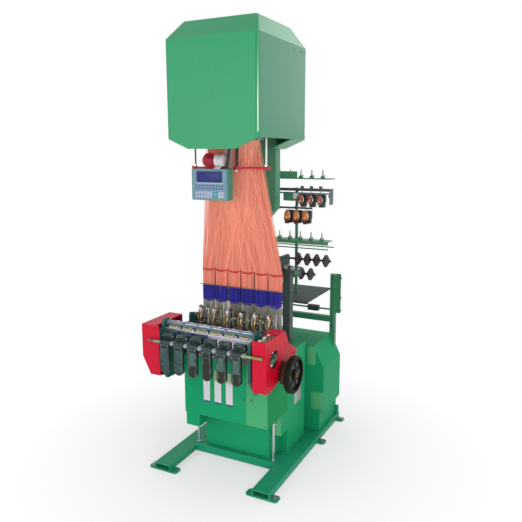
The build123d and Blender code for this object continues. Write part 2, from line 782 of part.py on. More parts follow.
def lever_rod():
    """The rod that carries the levers, with a nut and a bracket to the guide plate beside each unit."""
    left = LEFT_FRAME_X + FRAME_THICK - LEVER_ROD_OVERHANG
    right = COVER_OUTER - RIGHT_FRAME_OUT + BODY_HALF
    high = LEVER_ROD_Z + LEVER_NUT_R
    rod = rod_x(left, right, LEVER_ROD_Y, LEVER_ROD_Z, LEVER_ROD_R)
    for x in unit_xs():
        nut_x = x + UNIT_PITCH / 2
        half = LEVER_NUT_LENGTH / 2
        nut = Rot(0, 90, 0) * sided(LEVER_NUT_R, NUT_SIDES, nut_x - half, nut_x + half)
        rod += Pos(0, LEVER_ROD_Y, LEVER_ROD_Z) * nut
        half = ROD_BRACKET / 2
        rod += block(nut_x - half, nut_x + half, LEVER_ROD_Y, GUIDE_FRONT, GUIDE_LOW, high)
    return rod


def lever_arm(x):
    """The arm below the rod: a long plate with a round end, its front hollowed inside a rim."""
    half = LEVER_WIDTH / 2
    front = LEVER_ROD_Y - LEVER_THICK / 2
    back = LEVER_ROD_Y + LEVER_THICK / 2
    end = LEVER_END_Z + half
    arm = block(x - half, x + half, front, back, end, LEVER_ROD_Z)
    arm += Pos(x, LEVER_ROD_Y, end) * Rot(90, 0, 0) * Cylinder(half, LEVER_THICK)
    inner = half - LEVER_RIM
    floor = front + LEVER_RECESS
    hollow = block(x - inner, x + inner, front - 1, floor, end, LEVER_ROD_Z - LEVER_HUB_R)
    hollow += Pos(x, (front - 1 + floor) / 2, end) * Rot(90, 0, 0) * Cylinder(inner, LEVER_RECESS + 1)
    arm -= hollow
    pad = LEVER_PAD_WIDTH / 2
    top = LEVER_ROD_Z - LEVER_PAD_TOP
    return arm + block(x - pad, x + pad, floor - LEVER_PAD_RISE, floor, top - LEVER_PAD_LENGTH, top)


def lever_head(x):
    """The rounded pad behind the rod, hollowed at its front."""
    half = HEAD_PAD_WIDTH / 2
    front = LEVER_ROD_Y + HEAD_PAD_SETBACK
    low = LEVER_ROD_Z + HEAD_PAD_RISE
    high = low + HEAD_PAD_HEIGHT
    head = block(x - half, x + half, front, front + HEAD_PAD_DEPTH, low, high)
    head = chamfer(head.edges().filter_by(Axis.Y), HEAD_PAD_CORNER)
    inner = half - HEAD_PAD_RIM
    floor = front + HEAD_PAD_RECESS
    return head - block(x - inner, x + inner, front - 1, floor, low + HEAD_PAD_RIM, high - HEAD_PAD_RIM)


def presser_lever(x):
    """One presser lever: its arm and its head, joined at the hub that turns on the rod."""
    half = LEVER_WIDTH / 2
    hub = rod_x(x - half, x + half, LEVER_ROD_Y, LEVER_ROD_Z, LEVER_HUB_R)
    front = LEVER_ROD_Y + HEAD_PAD_SETBACK
    low = LEVER_ROD_Z + HEAD_PAD_RISE
    bridge = [
        (LEVER_ROD_Y, LEVER_ROD_Z + LEVER_HUB_R),
        (LEVER_ROD_Y, LEVER_ROD_Z),
        (front, low - HEAD_PAD_RISE),
        (front + HEAD_PAD_DEPTH, low),
        (front + HEAD_PAD_DEPTH, low + HEAD_PAD_RIM),
        (front, low + HEAD_PAD_RIM),
    ]
    lever = lever_arm(x) + hub + lever_head(x) + side_plate(bridge, x - half / 2, x + half / 2)
    reach = HEAD_PAD_WIDTH / 2 + 1
    return lever - rod_x(x - reach, x + reach, LEVER_ROD_Y, LEVER_ROD_Z, LEVER_ROD_R + RUNNING_FIT)


def reed(x, z0):
    """A unit's reed: a frame with its upright dents."""
    half = REED_WIDTH / 2
    y1 = REED_Y + REED_THICK
    frame = block(x - half, x + half, REED_Y, y1, z0, z0 + REED_HEIGHT)
    inner = half - REED_RIM
    low = z0 + REED_RIM
    high = z0 + REED_HEIGHT - REED_RIM
    frame -= block(x - inner, x + inner, REED_Y - 1, y1 + 1, low, high)
    step = 2 * inner / (REED_DENTS + 1)
    for i in range(REED_DENTS):
        dent = x - inner + step * (i + 1)
        frame += block(dent - REED_DENT / 2, dent + REED_DENT / 2, REED_Y, y1, low, high)
    return frame


def weft_needle(x, z0):
    """A unit's curved weft needle, on its post."""
    z = z0 + NEEDLE_R
    path = Plane.YZ * CenterArc((0, 0), NEEDLE_R, -90, NEEDLE_TURN)
    section = Plane(origin=path @ 0, z_dir=path % 0) * Rectangle(NEEDLE_WIRE, NEEDLE_WIRE)
    needle = sweep(section, path=path)
    x1 = x + NEEDLE_OFFSET
    half = NEEDLE_POST / 2
    low = z0 - UNIT_FRONT_RISE / 2
    post = block(x1 - half, x1 + half, NEEDLE_Y - half, NEEDLE_Y + half, low, z0 + half)
    return Pos(x1, NEEDLE_Y, z) * needle + post


def unit_top(y):
    """The height of a unit casting's sloped top at a depth y."""
    share = (y - BODY_FRONT) / (UNIT_BACK - BODY_FRONT)
    return BODY_TOP + UNIT_FRONT_RISE + share * (UNIT_BACK_RISE - UNIT_FRONT_RISE)


def lever_pack(x):
    """The pack of small levers behind a unit's reed, with its upper corners cut."""
    half = LEVER_PACK_WIDTH / 2
    low = unit_top(LEVER_PACK_BACK) - LEVER_PACK_ROUND
    high = low + LEVER_PACK_RISE
    pack = block(x - half, x + half, LEVER_PACK_FRONT, LEVER_PACK_BACK, low, high)
    return chamfer(pack.edges().filter_by(Axis.Y).group_by(Axis.Z)[-1], LEVER_PACK_ROUND)


def needle_unit(x):
    """One weaving unit: a sloped casting with its reed, weft needle and hook posts."""
    half = UNIT_WIDTH / 2
    points = [
        (BODY_FRONT, BODY_TOP),
        (UNIT_BACK, BODY_TOP),
        (UNIT_BACK, unit_top(UNIT_BACK)),
        (BODY_FRONT, unit_top(BODY_FRONT)),
    ]
    unit = side_plate(points, x - half, x + half)
    unit += reed(x, unit_top(REED_Y))
    unit += weft_needle(x, unit_top(NEEDLE_Y))
    for side in (-1, 1):
        post = sided(HOOK_POST_R, PIN_SIDES, BODY_TOP, HOOK_POST_TOP)
        unit += Pos(x + side * HOOK_POST_OFFSET, HOOK_POST_Y, 0) * post
    unit += lever_pack(x)
    reach = HOOK_POST_OFFSET + HOOK_BAR
    y0 = HOOK_POST_Y - HOOK_BAR / 2
    low = HOOK_POST_TOP - 2 * HOOK_BAR
    return unit + block(x - reach, x + reach, y0, y0 + HOOK_BAR, low, low + HOOK_BAR)


def needle_units():
    return Compound([needle_unit(x) for x in unit_xs()])


def heddle_groups():
    """The taut heddles below the blue groups, narrowing to the body."""
    groups = []
    y0 = HARNESS_LOW_Y - HARNESS_THICK / 2
    for x in unit_xs():
        top = HEDDLE_TOP_WIDTH / 2
        low = HEDDLE_LOW_WIDTH / 2
        points = [(x - low, BODY_TOP), (x + low, BODY_TOP), (x + top, BLUE_END_Z), (x - top, BLUE_END_Z)]
        groups.append(front_plate(points, y0, y0 + HARNESS_THICK))
    return Compound(groups)


def blue_groups():
    """The wrapped groups of cords, each with its lower corners rounded."""
    groups = []
    y0 = HARNESS_LOW_Y - BLUE_THICK / 2
    half = BLUE_WIDTH / 2
    for x in unit_xs():
        group = block(x - half, x + half, y0, y0 + BLUE_THICK, BLUE_END_Z, HARNESS_END_Z)
        low_edges = group.edges().filter_by(Axis.Y).group_by(Axis.Z)[0]
        groups.append(fillet(low_edges, BLUE_ROUND))
    return Compound(groups)


def harness_fan():
    """The taut harness cords: one fan from the head, parted into a bundle over each unit."""
    y0 = HARNESS_LOW_Y - HARNESS_THICK / 2
    y1 = y0 + HARNESS_THICK
    top_y = HARNESS_TOP_Y - HARNESS_THICK / 2
    lean = [(y0, HARNESS_FAN_Z), (y1, HARNESS_FAN_Z)]
    lean += [(top_y + HARNESS_THICK, HARNESS_TOP_Z), (top_y, HARNESS_TOP_Z)]
    fan = [(-HARNESS_LOW_HALF, HARNESS_FAN_Z), (HARNESS_LOW_HALF, HARNESS_FAN_Z)]
    fan += [(HARNESS_TOP_HALF, HARNESS_TOP_Z), (-HARNESS_TOP_HALF, HARNESS_TOP_Z)]
    cords = side_plate(lean, -HARNESS_LOW_HALF, HARNESS_LOW_HALF) & front_plate(fan, top_y, y1)
    half = BUNDLE_WIDTH / 2
    for x in unit_xs():
        cords += block(x - half, x + half, y0, y1, HARNESS_END_Z, HARNESS_FAN_Z)
    return cords


def hood_section(inset, z):
    """The hood's rounded section in plan."""
    width = 2 * (HEAD_HALF - inset)
    depth = HEAD_BACK - HEAD_FRONT - 2 * inset
    middle = (HEAD_FRONT + HEAD_BACK) / 2
    return Pos(0, middle, z) * RectangleRounded(width, depth, HEAD_ROUND - inset)


def hood(inset):
    """The hood's outer form, or its inside where it has an inset."""
    low = HEAD_BOTTOM - inset
    body = extrude(hood_section(inset, low), amount=HEAD_SHOULDER - low)
    width = 2 * (HEAD_TOP_HALF - inset)
    depth = HEAD_TOP_BACK - HEAD_TOP_FRONT - 2 * inset
    middle = (HEAD_TOP_FRONT + HEAD_TOP_BACK) / 2
    top = Pos(0, middle, HEAD_TOP - inset) * RectangleRounded(width, depth, HEAD_ROUND - inset)
    body += loft([hood_section(inset, HEAD_SHOULDER), top])
    far = 2 * HEAD_HALF
    rise = HEAD_SKIRT * (far - HEAD_SKIRT_HALF) / (HEAD_HALF - HEAD_SKIRT_HALF)
    for side in (-1, 1):
        corner = (side * HEAD_SKIRT_HALF, HEAD_BOTTOM + inset)
        slope = [corner, (side * far, HEAD_BOTTOM + rise + inset), (side * far, HEAD_BOTTOM - rise)]
        slope.append((side * HEAD_SKIRT_HALF, HEAD_BOTTOM - rise))
        body -= front_plate(slope, HEAD_FRONT - 1, HEAD_BACK + 1)
    return body


def head_cover():
    """The hood over the jacquard machine: open below, its side skirts only at the back."""
    shell = hood(0) - hood(HEAD_WALL)
    front = HEAD_FRONT + HEAD_WALL
    far = HEAD_HALF + 1
    shell -= block(-far, far, front, HEAD_SKIRT_FRONT, HEAD_BOTTOM - 1, HEAD_FLOOR)
    return shell


def head_core():
    """The jacquard machine inside the hood, on the base plate that the column carries."""
    half = HEAD_HALF - HEAD_WALL
    top = HARNESS_TOP_Z + BASE_PLATE
    core = block(-CORE_HALF, CORE_HALF, CORE_FRONT, CORE_BACK, top, CORE_TOP)
    core += block(-half, half, CORE_FRONT, CORE_BACK, HARNESS_TOP_Z, top)
    return core + block(-SPINE_TOP_HALF, SPINE_TOP_HALF, CORE_BACK, SPINE_BACK, HARNESS_TOP_Z, top)


def gantry_spine():
    """The column behind the harness, wider at the top where it carries the head."""
    right = [
        (SPINE_HALF, BODY_TOP),
        (SPINE_HALF, SPINE_NECK),
        (SPINE_TOP_HALF, SPINE_SHOULDER),
        (SPINE_TOP_HALF, HARNESS_TOP_Z),
    ]
    left = [(-x, z) for x, z in reversed(right)]
    return front_plate(right + left, SPINE_FRONT, SPINE_BACK)


def feed_cheek(side):
    """A cheek that carries both feed shafts in running bores."""
    x = side * CHEEK_X
    half = CHEEK_THICK / 2
    low = FEED_LOW_Z - CHEEK_EDGE
    high = FEED_HIGH_Z + CHEEK_EDGE
    cheek = block(x - half, x + half, SPINE_BACK, RACK_Y + CHEEK_EDGE, low, high)
    back_edges = cheek.edges().filter_by(Axis.X).group_by(Axis.Y)[-1]
    cheek = fillet(back_edges, CHEEK_EDGE - 1)
    for z in (FEED_LOW_Z, FEED_HIGH_Z):
        cheek -= rod_x(x - CHEEK_THICK, x + CHEEK_THICK, RACK_Y, z, FEED_SHAFT_R + RUNNING_FIT)
    return cheek


def gantry_posts():
    """Two dark posts, the cross plate behind them and the cheeks that carry the feed shafts."""
    outer = DARK_POST_X + DARK_POST_WIDTH / 2
    top = DARK_POST_TOP + CROSS_THICK
    frame = block(-outer, outer, SPINE_BACK, SPINE_BACK + CROSS_THICK, DARK_POST_TOP - CROSS_THICK, top)
    half = DARK_POST_WIDTH / 2
    for side in (-1, 1):
        x = side * DARK_POST_X
        frame += block(x - half, x + half, DARK_POST_FRONT, SPINE_BACK, BODY_TOP, top)
        frame += feed_cheek(side)
    return frame


def control_panel():
    """The operator panel with its sunk screen and keypad, and the hanger that joins it to the head."""
    half = PANEL_WIDTH / 2
    case = block(PANEL_X - half, PANEL_RIGHT, PANEL_FRONT, PANEL_BACK, PANEL_BOTTOM, PANEL_TOP)
    case = fillet(case.edges().filter_by(Axis.Y), PANEL_ROUND)
    for width, height, edge, depth in (
        (SCREEN_WIDTH, SCREEN_HEIGHT, SCREEN_EDGE, SCREEN_RECESS),
        (KEYS_WIDTH, KEYS_HEIGHT, KEYS_EDGE, KEYS_RECESS),
    ):
        top = PANEL_TOP - edge
        x0 = PANEL_X - width / 2
        case -= block(x0, x0 + width, PANEL_FRONT - 1, PANEL_FRONT + depth, top - height, top)
    x1 = PANEL_RIGHT - HANGER_INSET
    low = PANEL_TOP - HANGER_WIDTH
    return case + block(x1 - HANGER_WIDTH, x1, PANEL_BACK, PANEL_BACK + HANGER_THICK, low, HARNESS_TOP_Z)


def lamp_body():
    """The signal lamp's body, lying along X on its foot."""
    body = rod_x(LAMP_RIGHT - LAMP_BODY, LAMP_RIGHT, LAMP_Y, LAMP_Z, LAMP_BODY_R)
    x0 = LAMP_RIGHT - LAMP_BODY + LAMP_FOOT_INSET
    half = LAMP_SETBACK - LAMP_FOOT_INSET
    return body + block(x0, x0 + LAMP_FOOT_WIDTH, LAMP_Y - half, LAMP_Y + half, PANEL_TOP, LAMP_Z)


def lamp_dome():
    """The red dome on the lamp's left end."""
    x1 = LAMP_RIGHT - LAMP_BODY
    points = [(0, LAMP_R), (-DOME_RIM, LAMP_R), (-DOME_LENGTH, DOME_FACE_R)]
    return turned(points, x1, LAMP_Y, LAMP_Z)


def cord_bar():
    """The red bar in front of the harness, hung from the head at both ends, with a cable clamp."""
    bar = rod_x(-CORD_BAR_HALF, CORD_BAR_HALF, CORD_BAR_Y, CORD_BAR_Z, CORD_BAR_R)
    for side in (-1, 1):
        x = side * CORD_BAR_HALF
        x0 = min(x, x - side * CORD_COLLAR_LENGTH)
        bar += rod_x(x0, x0 + CORD_COLLAR_LENGTH, CORD_BAR_Y, CORD_BAR_Z, CORD_COLLAR_R)
        hanger = sided(CORD_HANGER_R, PIN_SIDES, CORD_BAR_Z, HARNESS_TOP_Z)
        bar += Pos(side * CORD_HANGER_X, CORD_BAR_Y, 0) * hanger
    return bar + Pos(CABLE_X, CORD_BAR_Y, CORD_BAR_Z) * Box(CORD_CLAMP, CORD_CLAMP, CORD_CLAMP)


def panel_conduits():
    """The two stiff cables below the head: one leans to the panel, the other ends on the cord bar."""
    x0 = CABLE_X - CONDUIT_LEAN
    low = Vector(x0, LAMP_Y, PANEL_TOP)
    high = Vector(CABLE_X, LAMP_Y, HARNESS_TOP_Z)
    lean = math.degrees(math.atan2(CONDUIT_LEAN, HARNESS_TOP_Z - PANEL_TOP))
    length = (high - low).length + 4 * CONDUIT_R
    middle = (high + low) * 0.5
    cable = Pos(middle.X, middle.Y, middle.Z) * Rot(0, lean, 0) * Cylinder(CONDUIT_R, length)
    far = 4 * CONDUIT_LEAN
    cable &= block(x0 - far, x0 + far, PANEL_FRONT, PANEL_BACK, PANEL_TOP, HARNESS_TOP_Z)
    second = rod_z(CABLE_X, CORD_BAR_Y, CORD_BAR_Z + CORD_CLAMP / 2, HARNESS_TOP_Z, CONDUIT_R)
    return Compound([cable, second])


def creel_posts():
    """The two thin posts of the creel on the tray, with the guide rods across them."""
    half = CREEL_POST_SIDE / 2
    y1 = CREEL_POST_FRONT + CREEL_POST_SIDE
    rod_y = CREEL_POST_FRONT + half
    high_rod = Rot(0, 90, 0) * sided(GUIDE_R, PIN_SIDES, -RACK_HALF, RACK_HALF)
    frame = Pos(0, rod_y, GUIDE_HIGH_Z) * high_rod
    low_half = RACK_HALF - GUIDE_LOW_INSET
    low_rod = Rot(0, 90, 0) * sided(GUIDE_R, PIN_SIDES, -low_half, low_half)
    for side in (-1, 1):
        x = side * CREEL_POST_X
        frame += block(x - half, x + half, CREEL_POST_FRONT, y1, TRAY_Z, SPOOL_BAR_Z)
    return frame + Pos(0, rod_y, GUIDE_LOW_Z) * low_rod


def add_pins(rack, z, height):
    """A row of guide pins with their clips, standing on a rack."""
    for i in range(PIN_COUNT):
        x = PIN_PITCH * (i - (PIN_COUNT - 1) / 2)
        rack += Pos(x, RACK_Y, 0) * sided(PIN_R, PIN_SIDES, z, z + height)
        rack += Pos(x, RACK_Y, z + CLIP_HEIGHT / 2) * Box(CLIP_WIDTH, CLIP_DEPTH, CLIP_HEIGHT)
    return rack


def pin_racks():
    """The upper and the lower rack of guide pins, each an angle with its flange at the front."""
    y1 = RACK_FRONT + RACK_PLATE
    upper = block(-RACK_HALF, RACK_HALF, RACK_FRONT, CREEL_POST_FRONT, TOP_RACK_Z - RACK_PLATE, TOP_RACK_Z)
    flange = TOP_RACK_Z + TOP_FLANGE_HEIGHT
    upper += block(-TOP_FLANGE_HALF, TOP_FLANGE_HALF, RACK_FRONT, y1, TOP_RACK_Z, flange)
    upper += block(-TONGUE_HALF, TONGUE_HALF, SPINE_BACK, RACK_FRONT, TOP_RACK_Z - RACK_PLATE, TOP_RACK_Z)
    half = RACK_HALF - LOW_RACK_INSET
    lower = block(-half, half, RACK_FRONT, CREEL_POST_FRONT, LOW_RACK_Z - RACK_PLATE, LOW_RACK_Z)
    lower += block(-half, half, RACK_FRONT, y1, LOW_RACK_Z - RACK_FLANGE, LOW_RACK_Z)
    lower += block(-TONGUE_HALF, TONGUE_HALF, SPINE_BACK, RACK_FRONT, LOW_RACK_Z - RACK_PLATE, LOW_RACK_Z)
    return Compound([add_pins(upper, TOP_RACK_Z, PIN_HEIGHT), add_pins(lower, LOW_RACK_Z, PIN_HEIGHT)])


def feeder_xs(first):
    """The X of each feeder in a row, on both sides."""
    xs = [first + FEEDER_PITCH * i for i in range(FEEDER_ROW)]
    return [-x for x in reversed(xs)] + xs


def rack_bar(half, z, side):
    """A square bar across the creel, with arms to the column and to both creel posts."""
    y0 = RACK_Y - side / 2
    bar = block(-half, half, y0, y0 + side, z - side, z)
    bar += block(-TONGUE_HALF, TONGUE_HALF, SPINE_BACK, y0, z - side, z - side + RACK_PLATE)
    arm = CREEL_POST_SIDE / 2
    for sign in (-1, 1):
        x = sign * CREEL_POST_X
        bar += block(x - arm, x + arm, y0, CREEL_POST_FRONT, z - side, z)
    return bar


def spool_rack():
    """The two feeder bars, the upper one with its knobs and end plates."""
    upper = rack_bar(RACK_HALF, SPOOL_BAR_Z, SPOOL_BAR)
    for x in feeder_xs(FEEDER_HIGH_X):
        upper += Pos(x, RACK_Y, 0) * sided(KNOB_R, PIN_SIDES, SPOOL_BAR_Z, SPOOL_BAR_Z + KNOB_HEIGHT)
    y0 = RACK_Y - END_PLATE_DEPTH / 2
    low = SPOOL_BAR_Z - END_PLATE_DROP
    for side in (-1, 1):
        x0 = min(side * RACK_HALF, side * (RACK_HALF - RACK_PLATE))
        upper += block(x0, x0 + RACK_PLATE, y0, y0 + END_PLATE_DEPTH, low, SPOOL_BAR_Z)
    return Compound([upper, rack_bar(FEEDER_BAR_HALF, FEEDER_BAR_Z, FEEDER_BAR)])


def weft_feeder(x, z, bar):
    """A feeder: a flanged drum along Y in front of its case, on a stem from its bar."""
    end = FEEDER_LENGTH / 2
    rim = end - FEEDER_FLANGE
    spool = sided(FEEDER_DRUM_R, DRUM_SIDES, -rim, rim)
    for face in (-end, rim):
        spool += sided(FEEDER_R, DRUM_SIDES, face, face + FEEDER_FLANGE)
    stem = Pos(x, RACK_Y, 0) * sided(FEEDER_STEM_R, PIN_SIDES, z, bar)
    half = FEEDER_CASE / 2
    low = z - FEEDER_CASE_DROP
    case = block(x - half, x + half, RACK_Y, RACK_Y + FEEDER_CASE_DEPTH, low, z + FEEDER_CASE_RISE)
    case = chamfer(case.edges().filter_by(Axis.Y), FEEDER_CASE / 6)
    return Pos(x, RACK_Y, z) * Rot(90, 0, 0) * spool + stem + case


def weft_feeders():
    """Two rows of feeders below their bars."""
    feeders = [weft_feeder(x, FEEDER_HIGH_Z, SPOOL_BAR_Z - SPOOL_BAR) for x in feeder_xs(FEEDER_HIGH_X)]
    feeders += [weft_feeder(x, FEEDER_LOW_Z, FEEDER_BAR_Z - FEEDER_BAR) for x in feeder_xs(FEEDER_LOW_X)]
    return Compound(feeders)


def feed_shaft(z, first, count):
    """A feed shaft with its double-cone rollers on both sides."""
    last = first + FEED_PITCH * (count - 1)
    end = last + FEED_SHAFT_END
    shaft = rod_x(-end, end, RACK_Y, z, FEED_SHAFT_R)
    rim = FEED_ROLL_RIM / 2
    points = [(-FEED_ROLL_HALF, FEED_ROLL_HUB_R), (-rim, FEED_ROLL_R), (rim, FEED_ROLL_R)]
    points.append((FEED_ROLL_HALF, FEED_ROLL_HUB_R))
    roller = Rot(0, 90, 0) * drum(points)
    for i in range(count):
        for side in (-1, 1):
            shaft += Pos(side * (first + FEED_PITCH * i), RACK_Y, z) * roller
    return shaft


def handwheel():
    """The handwheel: a wide rim on a web, with a hub and its end nut."""
    rim = WHEEL_WIDTH / 2
    web = WHEEL_WEB / 2
    inner = WHEEL_R - WHEEL_RIM
    points = [
        (-rim, WHEEL_HUB_R),
        (-web, WHEEL_HUB_R),
        (-web, inner),
        (-rim, inner),
        (-rim, WHEEL_R - web),
        (web - rim, WHEEL_R),
        (rim - web, WHEEL_R),
        (rim, WHEEL_R - web),
        (rim, inner),
        (web, inner),
        (web, WHEEL_HUB_R),
        (rim, WHEEL_HUB_R),
        (rim, WHEEL_NUT_R),
        (rim + WHEEL_NUT_LENGTH, WHEEL_NUT_R),
    ]
    return turned(points, COVER_OUTER + WHEEL_CLEAR + rim, SHAFT_Y, SHAFT_Z)


def main_shaft():
    """The main shaft from the right frame to the handwheel, with its belt pulley and collar."""
    start = BODY_HALF + RUNNING_FIT
    pulley_x = COVER_OUTER + PULLEY_CLEAR
    groove = PULLEY_WIDTH / 3
    points = [
        (0, PULLEY_R),
        (groove / 2, PULLEY_R),
        (groove, PULLEY_R - PULLEY_GROOVE),
        (2 * groove, PULLEY_R - PULLEY_GROOVE),
        (2 * groove + groove / 2, PULLEY_R),
        (PULLEY_WIDTH, PULLEY_R),
        (PULLEY_WIDTH, COLLAR_R),
        (PULLEY_WIDTH + COLLAR_WIDTH, COLLAR_R),
    ]
    shaft = rod_x(start, COVER_OUTER + WHEEL_CLEAR, SHAFT_Y, SHAFT_Z, SHAFT_R)
    return shaft + turned(points, pulley_x, SHAFT_Y, SHAFT_Z)


def build_all():
    """Build every piece and write it."""
    pieces = {
        "base_frame": base_frame(),
        "pedestal": pedestal(),
        "prop_rods": prop_rods(),
        "main_cabinet": main_cabinet(),
        "front_housing": front_housing(),
        "front_door": front_door(),
        "woven_tapes": woven_tapes(),
        "rear_housing": rear_housing(),
        "rear_posts": rear_posts(),
        "rear_rails": rear_rails(),
        "tray": tray(),
        "right_cover": right_cover(),
        "left_cover": left_cover(),
        "left_side_frame": left_side_frame(),
        "right_side_frame": right_side_frame(),
        "beam_rods": beam_rods(),
        "breast_plate": breast_plate(),
        "lever_rod": lever_rod(),
        "needle_units": needle_units(),
        "heddle_groups": heddle_groups(),
        "blue_groups": blue_groups(),
        "harness_fan": harness_fan(),
        "head_cover": head_cover(),
        "head_core": head_core(),
        "gantry_spine": gantry_spine(),
        "gantry_posts": gantry_posts(),
        "control_panel": control_panel(),
        "lamp_body": lamp_body(),
        "lamp_dome": lamp_dome(),
        "cord_bar": cord_bar(),
        "panel_conduits": panel_conduits(),
        "creel_posts": creel_posts(),
        "pin_racks": pin_racks(),
        "spool_rack": spool_rack(),
        "weft_feeders": weft_feeders(),
        "feed_shaft_upper": feed_shaft(FEED_HIGH_Z, FEED_HIGH_FIRST, FEED_HIGH_ROLLS),
        "feed_shaft_lower": feed_shaft(FEED_LOW_Z, FEED_LOW_FIRST, FEED_LOW_ROLLS),
        "handwheel": handwheel(),
        "main_shaft": main_shaft(),
    }
    for i, x in enumerate(unit_xs()):
        pieces[f"presser_lever_{i + 1}"] = presser_lever(x)
    for name, shape in pieces.items():
        save(shape, name)


build_all()
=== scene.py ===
import logging
import math
import random
from dataclasses import dataclass, field
from enum import Enum
from functools import lru_cache
from typing import Any, Iterable, Optional, Sequence

import bmesh
import bpy
from mathutils import Matrix, Vector


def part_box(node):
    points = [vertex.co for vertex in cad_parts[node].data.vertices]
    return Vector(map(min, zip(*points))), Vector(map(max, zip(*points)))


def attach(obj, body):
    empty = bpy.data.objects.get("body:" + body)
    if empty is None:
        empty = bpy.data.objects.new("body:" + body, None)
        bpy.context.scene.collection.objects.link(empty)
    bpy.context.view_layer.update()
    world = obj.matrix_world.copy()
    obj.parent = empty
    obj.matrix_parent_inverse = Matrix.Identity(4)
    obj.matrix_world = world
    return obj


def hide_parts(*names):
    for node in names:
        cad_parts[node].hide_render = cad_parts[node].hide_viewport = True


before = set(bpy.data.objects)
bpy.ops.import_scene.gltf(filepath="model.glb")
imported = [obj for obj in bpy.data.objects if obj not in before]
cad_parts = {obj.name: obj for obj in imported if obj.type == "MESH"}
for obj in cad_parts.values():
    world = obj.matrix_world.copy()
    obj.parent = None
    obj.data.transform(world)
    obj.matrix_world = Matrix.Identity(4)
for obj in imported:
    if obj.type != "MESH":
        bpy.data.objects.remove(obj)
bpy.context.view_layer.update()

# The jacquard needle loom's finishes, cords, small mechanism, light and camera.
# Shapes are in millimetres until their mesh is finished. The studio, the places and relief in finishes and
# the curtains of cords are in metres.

Colour = tuple[float, float, float]
Point = tuple[float, float, float]
Outline = Sequence[tuple[float, float]]
Shape = tuple[tuple[Point, ...], tuple[tuple[int, ...], ...]]
Spot = tuple[Point, Point]
Feeds = dict[Any, Any]

MM = 0.001
SHARP_ANGLE = math.radians(32)
UNITS = 6
UNIT_PITCH = 91.6
SIDES = (-1, 1)
FRONT, UP, RIGHT, LEFT = (0, -1, 0), (0, 0, 1), (1, 0, 0), (-1, 0, 0)
ABOUT_FACE = Matrix.Rotation(math.pi, 4, "Z")
WORN_EDGE = 0.0035
WEAR_SCALE, DUST_SCALE, SCRATCH_SCALE = 38.0, 14.0, 30.0
TONE_STRENGTH = 1.6
COAT_ROUGHNESS = 0.18
WHITE = (1.0, 1.0, 1.0, 1.0)

log = logging.getLogger("loom")


def unit_centres() -> list[float]:
    """The X of each weaving unit's middle."""
    return [UNIT_PITCH * (i - (UNITS - 1) / 2) for i in range(UNITS)]


def unit_edges() -> list[float]:
    """The X of both ends of the row of units and of each place between two of them."""
    return [UNIT_PITCH * (i - UNITS / 2) for i in range(UNITS + 1)]


def leaning(degrees: float, about: str) -> Matrix:
    """A turn by an angle about one axis."""
    return Matrix.Rotation(math.radians(degrees), 4, about)


def srgb(*channels: int) -> Colour:
    """Turn a colour as seen on a screen, 0 to 255, into the linear values that shaders take."""
    shares = [channel / 255 for channel in channels]
    return tuple(v / 12.92 if v <= 0.04045 else ((v + 0.055) / 1.055) ** 2.4 for v in shares)


def rgba(colour: Any) -> Any:
    """Give a plain colour its alpha, and leave an output as it is."""
    return (*colour, 1.0) if isinstance(colour, tuple) else colour


class Body(str, Enum):
    """The CAD bodies that pieces ride on, besides the levers."""

    FRAME = "frame"
    HANDWHEEL = "handwheel_body"


class Axis(Enum):
    """The directions that turned and extruded shapes point in, as turns about X and Y in degrees."""

    X = (0, 90)
    Y = (-90, 0)
    Z = (0, 0)

    def turn(self) -> Matrix:
        """Return the rotation that takes Z to this direction."""
        return leaning(self.value[1], "Y") @ leaning(self.value[0], "X")


class Fastener(Enum):
    """Kinds of fastener, as the number of sides of the head and its height over its radius."""

    HEX = (6, 0.75)
    SOCKET = (16, 1.0)
    PAN = (14, 0.45)


class Value:
    """A node's output that takes plain arithmetic, each step as a Math node."""

    def __init__(self, graph: "Graph", socket: bpy.types.NodeSocket) -> None:
        """Hold an output of one of a graph's nodes."""
        self.graph, self.socket = graph, socket

    def __add__(self, other: Any) -> "Value":
        """The sum."""
        return self.graph.math("ADD", self, other)

    def __sub__(self, other: Any) -> "Value":
        """The difference."""
        return self.graph.math("SUBTRACT", self, other)

    def __mul__(self, other: Any) -> "Value":
        """The product."""
        return self.graph.math("MULTIPLY", self, other)

    def __truediv__(self, other: Any) -> "Value":
        """The quotient."""
        return self.graph.math("DIVIDE", self, other)

    def __abs__(self) -> "Value":
        """The value without its sign."""
        return self.graph.math("ABSOLUTE", self)

    def clamped(self) -> "Value":
        """Keep what its own Math node gives between 0 and 1."""
        self.socket.node.use_clamp = True
        return self

    def ramp(self, low: float, high: float, to: tuple[float, float] = (0.0, 1.0)) -> "Value":
        """Map it from a range to another, clamped."""
        spans = {"Value": self, "From Min": low, "From Max": high, "To Min": to[0], "To Max": to[1]}
        return self.graph.out("ShaderNodeMapRange", spans)

    def part(self, axis: int) -> "Value":
        """One axis of a vector: 0, 1 or 2 for X, Y or Z."""
        return self.graph.out("ShaderNodeSeparateXYZ", {0: self}, axis)


